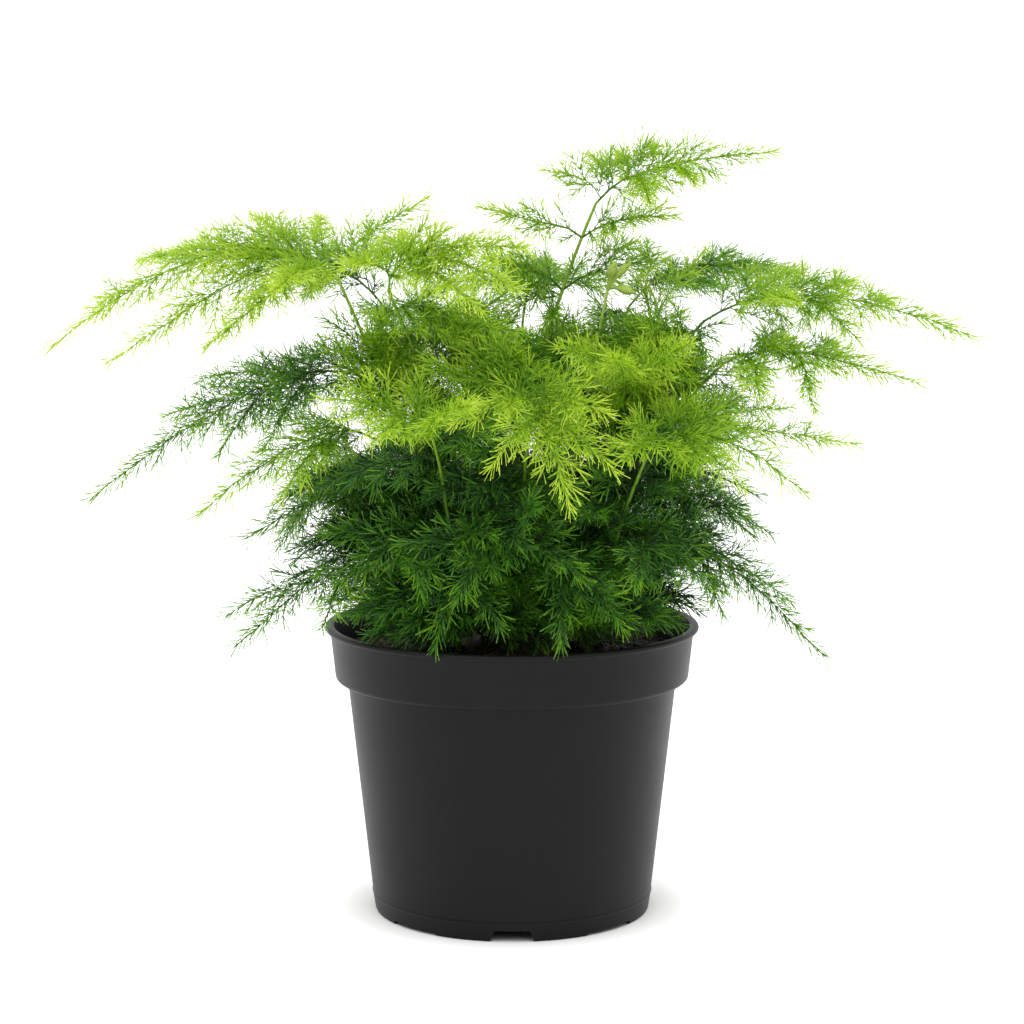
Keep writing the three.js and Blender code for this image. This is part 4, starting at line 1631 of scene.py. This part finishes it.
class Spray:
    """A whole feathery frond: a main plume and its side plumes."""

    def __init__(self, row: list, stems: dict[str, Stem], habit: SprayHabit, shoots: list[Sideshoot],
                 seed: int) -> None:
        """Reads the frond's row.

        Args:
            row: Name, stem, start, tip, lift, half width, roll, age and side sprays.
            stems: All stems by name.
            habit: How sprays branch.
            shoots: Small plumes off the same stem that go with this frond.
            seed: Seed of its chance.
        """
        self.name, stem, up, tip, lift, self.half, roll, self.age, self.sides = row
        self.habit, self.shoots = habit, shoots
        self.rng = np.random.default_rng(seed)
        parent = stems[stem].arc
        up, follow = float(up), 0.6 if up == 1 else 0.3
        self.main = Arc.over(parent.at(up), np.array(tip, float), lift, parent.tangent(up), follow)
        self.face = np.array([0, -math.sin(math.radians(roll)), math.cos(math.radians(roll))])
        self.twigs = Twigs()

    def plume(self, path: Arc, half: float, start: float, age: tuple[float, float], girth: float) -> None:
        """Grows one feathery branch.

        Args:
            path: Its midrib.
            half: How far its side twigs reach where they are longest.
            start: Where along the midrib the feathering starts.
            age: Age at its base and tip.
            girth: Radius of the midrib at its base.
        """
        rng, habit = self.rng, self.habit
        t = np.linspace(0, 1, max(6, int(path.length / 6)))
        line = path.at(t)
        line[1:-1] += rng.normal(0, 0.25, (len(t) - 2, 3))
        self.twigs.add(line, (girth, 0.13), (age[0] - 0.05, age[1]), (0, 1.0))
        self.twigs.bearing[-1] = np.clip((t - start - 0.12) * 4, 0, 1) * 0.95
        count = max(4, int(path.length * (1 - start) / habit.step))
        side = 1.0 if rng.random() < 0.5 else -1.0
        face = unit(self.face + rng.normal(0, 0.2, 3))
        for i in range(count):
            u = start + (1 - start) * (i + rng.uniform(0.2, 0.8)) / count
            side = -side
            reach = half * look_up(OUTLINE, u) * rng.uniform(0.75, 1.25)
            if reach < habit.shortest:
                continue
            along = path.tangent(u)
            across = unit(np.cross(along, face))
            normal = np.cross(across, along)
            opening = habit.angle_base + (habit.angle_tip - habit.angle_base) * u
            angle = math.radians(opening + rng.normal(0, 8))
            lift = math.radians(rng.normal(0, 17))
            out = across * side * math.cos(lift) + normal * math.sin(lift)
            heading = along * math.cos(angle) + out * math.sin(angle)
            young = age[0] + (age[1] - age[0]) * u
            self.branchlet(path.at(u), heading, along, normal, reach, young)

    def branchlet(self, origin: Vec, heading: Vec, along: Vec, normal: Vec, reach: float,
                  young: float) -> None:
        """Grows one side twig with its forks.

        Args:
            origin: Where it leaves the midrib.
            heading: Its first direction.
            along: The midrib's direction there.
            normal: The plume's face there.
            reach: Its length.
            young: Its age.
        """
        rng, habit = self.rng, self.habit
        end = origin + heading * reach + along * reach * 0.16 - np.array([0, 0, reach * reach * 0.008])
        arc = Arc.bent(origin, origin + heading * reach * 0.5, end)
        steps = 4 if reach > 9 else 3
        line = arc.at(np.linspace(0, 1, steps))
        self.twigs.add(line, (0.17, 0.09), (young - 0.12, young + 0.14), (0.85, 1.0))
        if reach < habit.fork_from:
            return
        count = int(reach * 0.8 / habit.fork_step)
        side = 1.0 if rng.random() < 0.5 else -1.0
        for k in range(count):
            v = 0.14 + 0.7 * (k + 0.5) / count
            side = -side
            forward = arc.tangent(v)
            out = unit(np.cross(forward, normal)) * side + normal * rng.normal(0, 0.35)
            angle = math.radians(rng.uniform(36, 56))
            length = (reach * (1 - v) * 0.5 + 1.6) * rng.uniform(0.8, 1.2)
            start = arc.at(v)
            tip = start + (forward * math.cos(angle) + unit(out) * math.sin(angle)) * length
            self.twigs.add(np.array([start, tip]), (0.13, 0.08), (young, young + 0.16), (0.85, 0.95))

    def grow(self) -> Twigs:
        """Grows the whole frond.

        Returns:
            Its twigs.
        """
        a, wide = 0.12 + 0.88 * self.age, self.habit.widen
        tips = 0.02 + 0.14 * a
        self.plume(self.main, self.half * wide, 0.06, (a - 0.26, a + tips), 0.5)
        for t, tip, half in self.sides:
            path = Arc.over(self.main.at(float(t)), np.array(tip, float), 4, self.main.tangent(float(t)), 0.4)
            self.plume(path, half * wide, 0.08, (a - 0.22, a + tips), 0.3)
        for shoot in self.shoots:
            self.plume(shoot.path, shoot.half * wide, 0.12, (shoot.age - 0.08, shoot.age + 0.1), 0.26)
        return self.twigs


# ------------------------------------------------------------------ studio
class Studio:
    """Pale floor, soft light and the camera."""

    def build(self) -> None:
        """Builds them."""
        floor = self.floor()
        floor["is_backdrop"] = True
        self.light()
        self.camera()

    def floor(self) -> Piece:
        """A wide pale floor.

        Returns:
            The floor.
        """
        made = bmesh.new()
        bmesh.ops.create_grid(made, x_segments=8, y_segments=8, size=30.0)
        mesh = bpy.data.meshes.new("floor")
        made.to_mesh(mesh)
        made.free()
        paint, tree, shader = new_material("pale_floor")
        place = joint(tree, "ShaderNodeTexCoord", output="Object")
        # faint mottling of matt paper, a hand wide
        paper = ramp(tree, noise(tree, place, 9.0, 4.0), ((0.3, "#f2f3f2"), (0.7, "#f8f8f7")))
        tree.links.new(paper, shader.inputs["Base Color"])
        # painted light: the floor glows a little, which washes out the shadows on it, everywhere but under
        # and close round the pot, where the shade stays dark
        away = joint(tree, "ShaderNodeVectorMath", {0: place}, "Value", operation="LENGTH")
        tree.links.new(fade(tree, away, (0.047, 0.064), (0.0, 0.3)), shader.inputs["Emission Strength"])
        shader.inputs["Emission Color"].default_value = srgb("#ffffff")
        shader.inputs["Roughness"].default_value = 0.9
        mesh.materials.append(paint)
        return shown(mesh, "floor")

    def light(self) -> None:
        """A bright surround, darker in front, and two broad soft lamps above."""
        world = bpy.data.worlds.new("surround")
        bpy.context.scene.world = world
        world.use_nodes = True
        tree = world.node_tree
        tree.nodes.clear()
        way = joint(tree, "ShaderNodeTexCoord", output="Generated")
        depth = joint(tree, "ShaderNodeSeparateXYZ", {0: way}, 1)
        bright = fade(tree, depth, (-0.75, 0.2), (0.12, 1.15))
        back = add_node(tree, "ShaderNodeBackground", {"Color": srgb("#ffffff"), "Strength": bright})
        add_node(tree, "ShaderNodeOutputWorld", {"Surface": back.outputs[0]})
        for name, strength, angle, turn in (("key", 1.7, 70, (28, -16, 0)), ("fill", 0.9, 80, (24, 30, 0))):
            lamp = bpy.data.lights.new(name, "SUN")
            lamp.energy, lamp.angle = strength, math.radians(angle)
            holder = bpy.data.objects.new(name, lamp)
            holder.rotation_euler = [math.radians(a) for a in turn]
            bpy.context.scene.collection.objects.link(holder)

    def camera(self) -> None:
        """The camera in front, a little above, looking slightly down."""
        lens = bpy.data.cameras.new("camera")
        lens.lens, lens.sensor_width = 103.3, 36.0
        lens.clip_start, lens.clip_end = 0.05, 80.0
        holder = bpy.data.objects.new("camera", lens)
        holder.location = (0, -1.009, 0.2796)
        holder.rotation_euler = (math.radians(90 - 7.89), 0, 0)
        bpy.context.scene.collection.objects.link(holder)
        bpy.context.scene.camera = holder
        bpy.context.scene.view_settings.view_transform = "Standard"


def main() -> None:
    """Builds every piece in order."""
    logging.basicConfig(level=logging.INFO, format="%(message)s")
    pot = Pot(PotSize(), PlasticFinish())
    pot.build()
    PottingMix(MixSize(), pot, MixFinish()).build()
    crown = Crown(CrownSize(), RootFinish())
    crown.build()

    needle_skin, twig_skin = FoliageFinish().build(), TwigFinish().build()
    size = NeedleSize()
    common = {
        "Spacing": size.spacing * MM, "Needles": size.count,
        "Length": size.length * MM, "Radius": size.radius * MM,
        "Least tilt": math.radians(size.least_tilt), "Most tilt": math.radians(size.most_tilt),
        "Twig skin": twig_skin, "Needle skin": needle_skin,
    }
    stem_tree, spray_tree = SprayTree(sides=8), SprayTree(sides=3)
    stems = {row[0]: Stem(row, crown) for row in STEMS}
    rng = np.random.default_rng(23)
    for name, stem in stems.items():
        settle(stem_tree.grow(stem.twigs(rng), f"{name}_stem", common | {"Seed": 1}), "stem_" + name)
    settle(stem_tree.grow(Wand(crown).twigs(rng), "new_shoot_wand", common | {"Seed": 1}), "stem_new_shoot")
    shoots = Thicket(stems, 440, 31).shoots
    for index, row in enumerate(SPRAYS):
        spray = Spray(row, stems, SprayHabit(), shoots.pop(row[1], []), 100 + index)
        piece = spray_tree.grow(spray.grow(), f"{row[0]}_foliage", common | {"Seed": 1000 + 17 * index})
        settle(piece, "frond_" + row[0])
    Studio().build()
    total = sum(len(o.data.loop_triangles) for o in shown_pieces() if o.type == "MESH")
    log.info("all pieces: %d triangles", total)


if __name__ == "__main__":
    main()
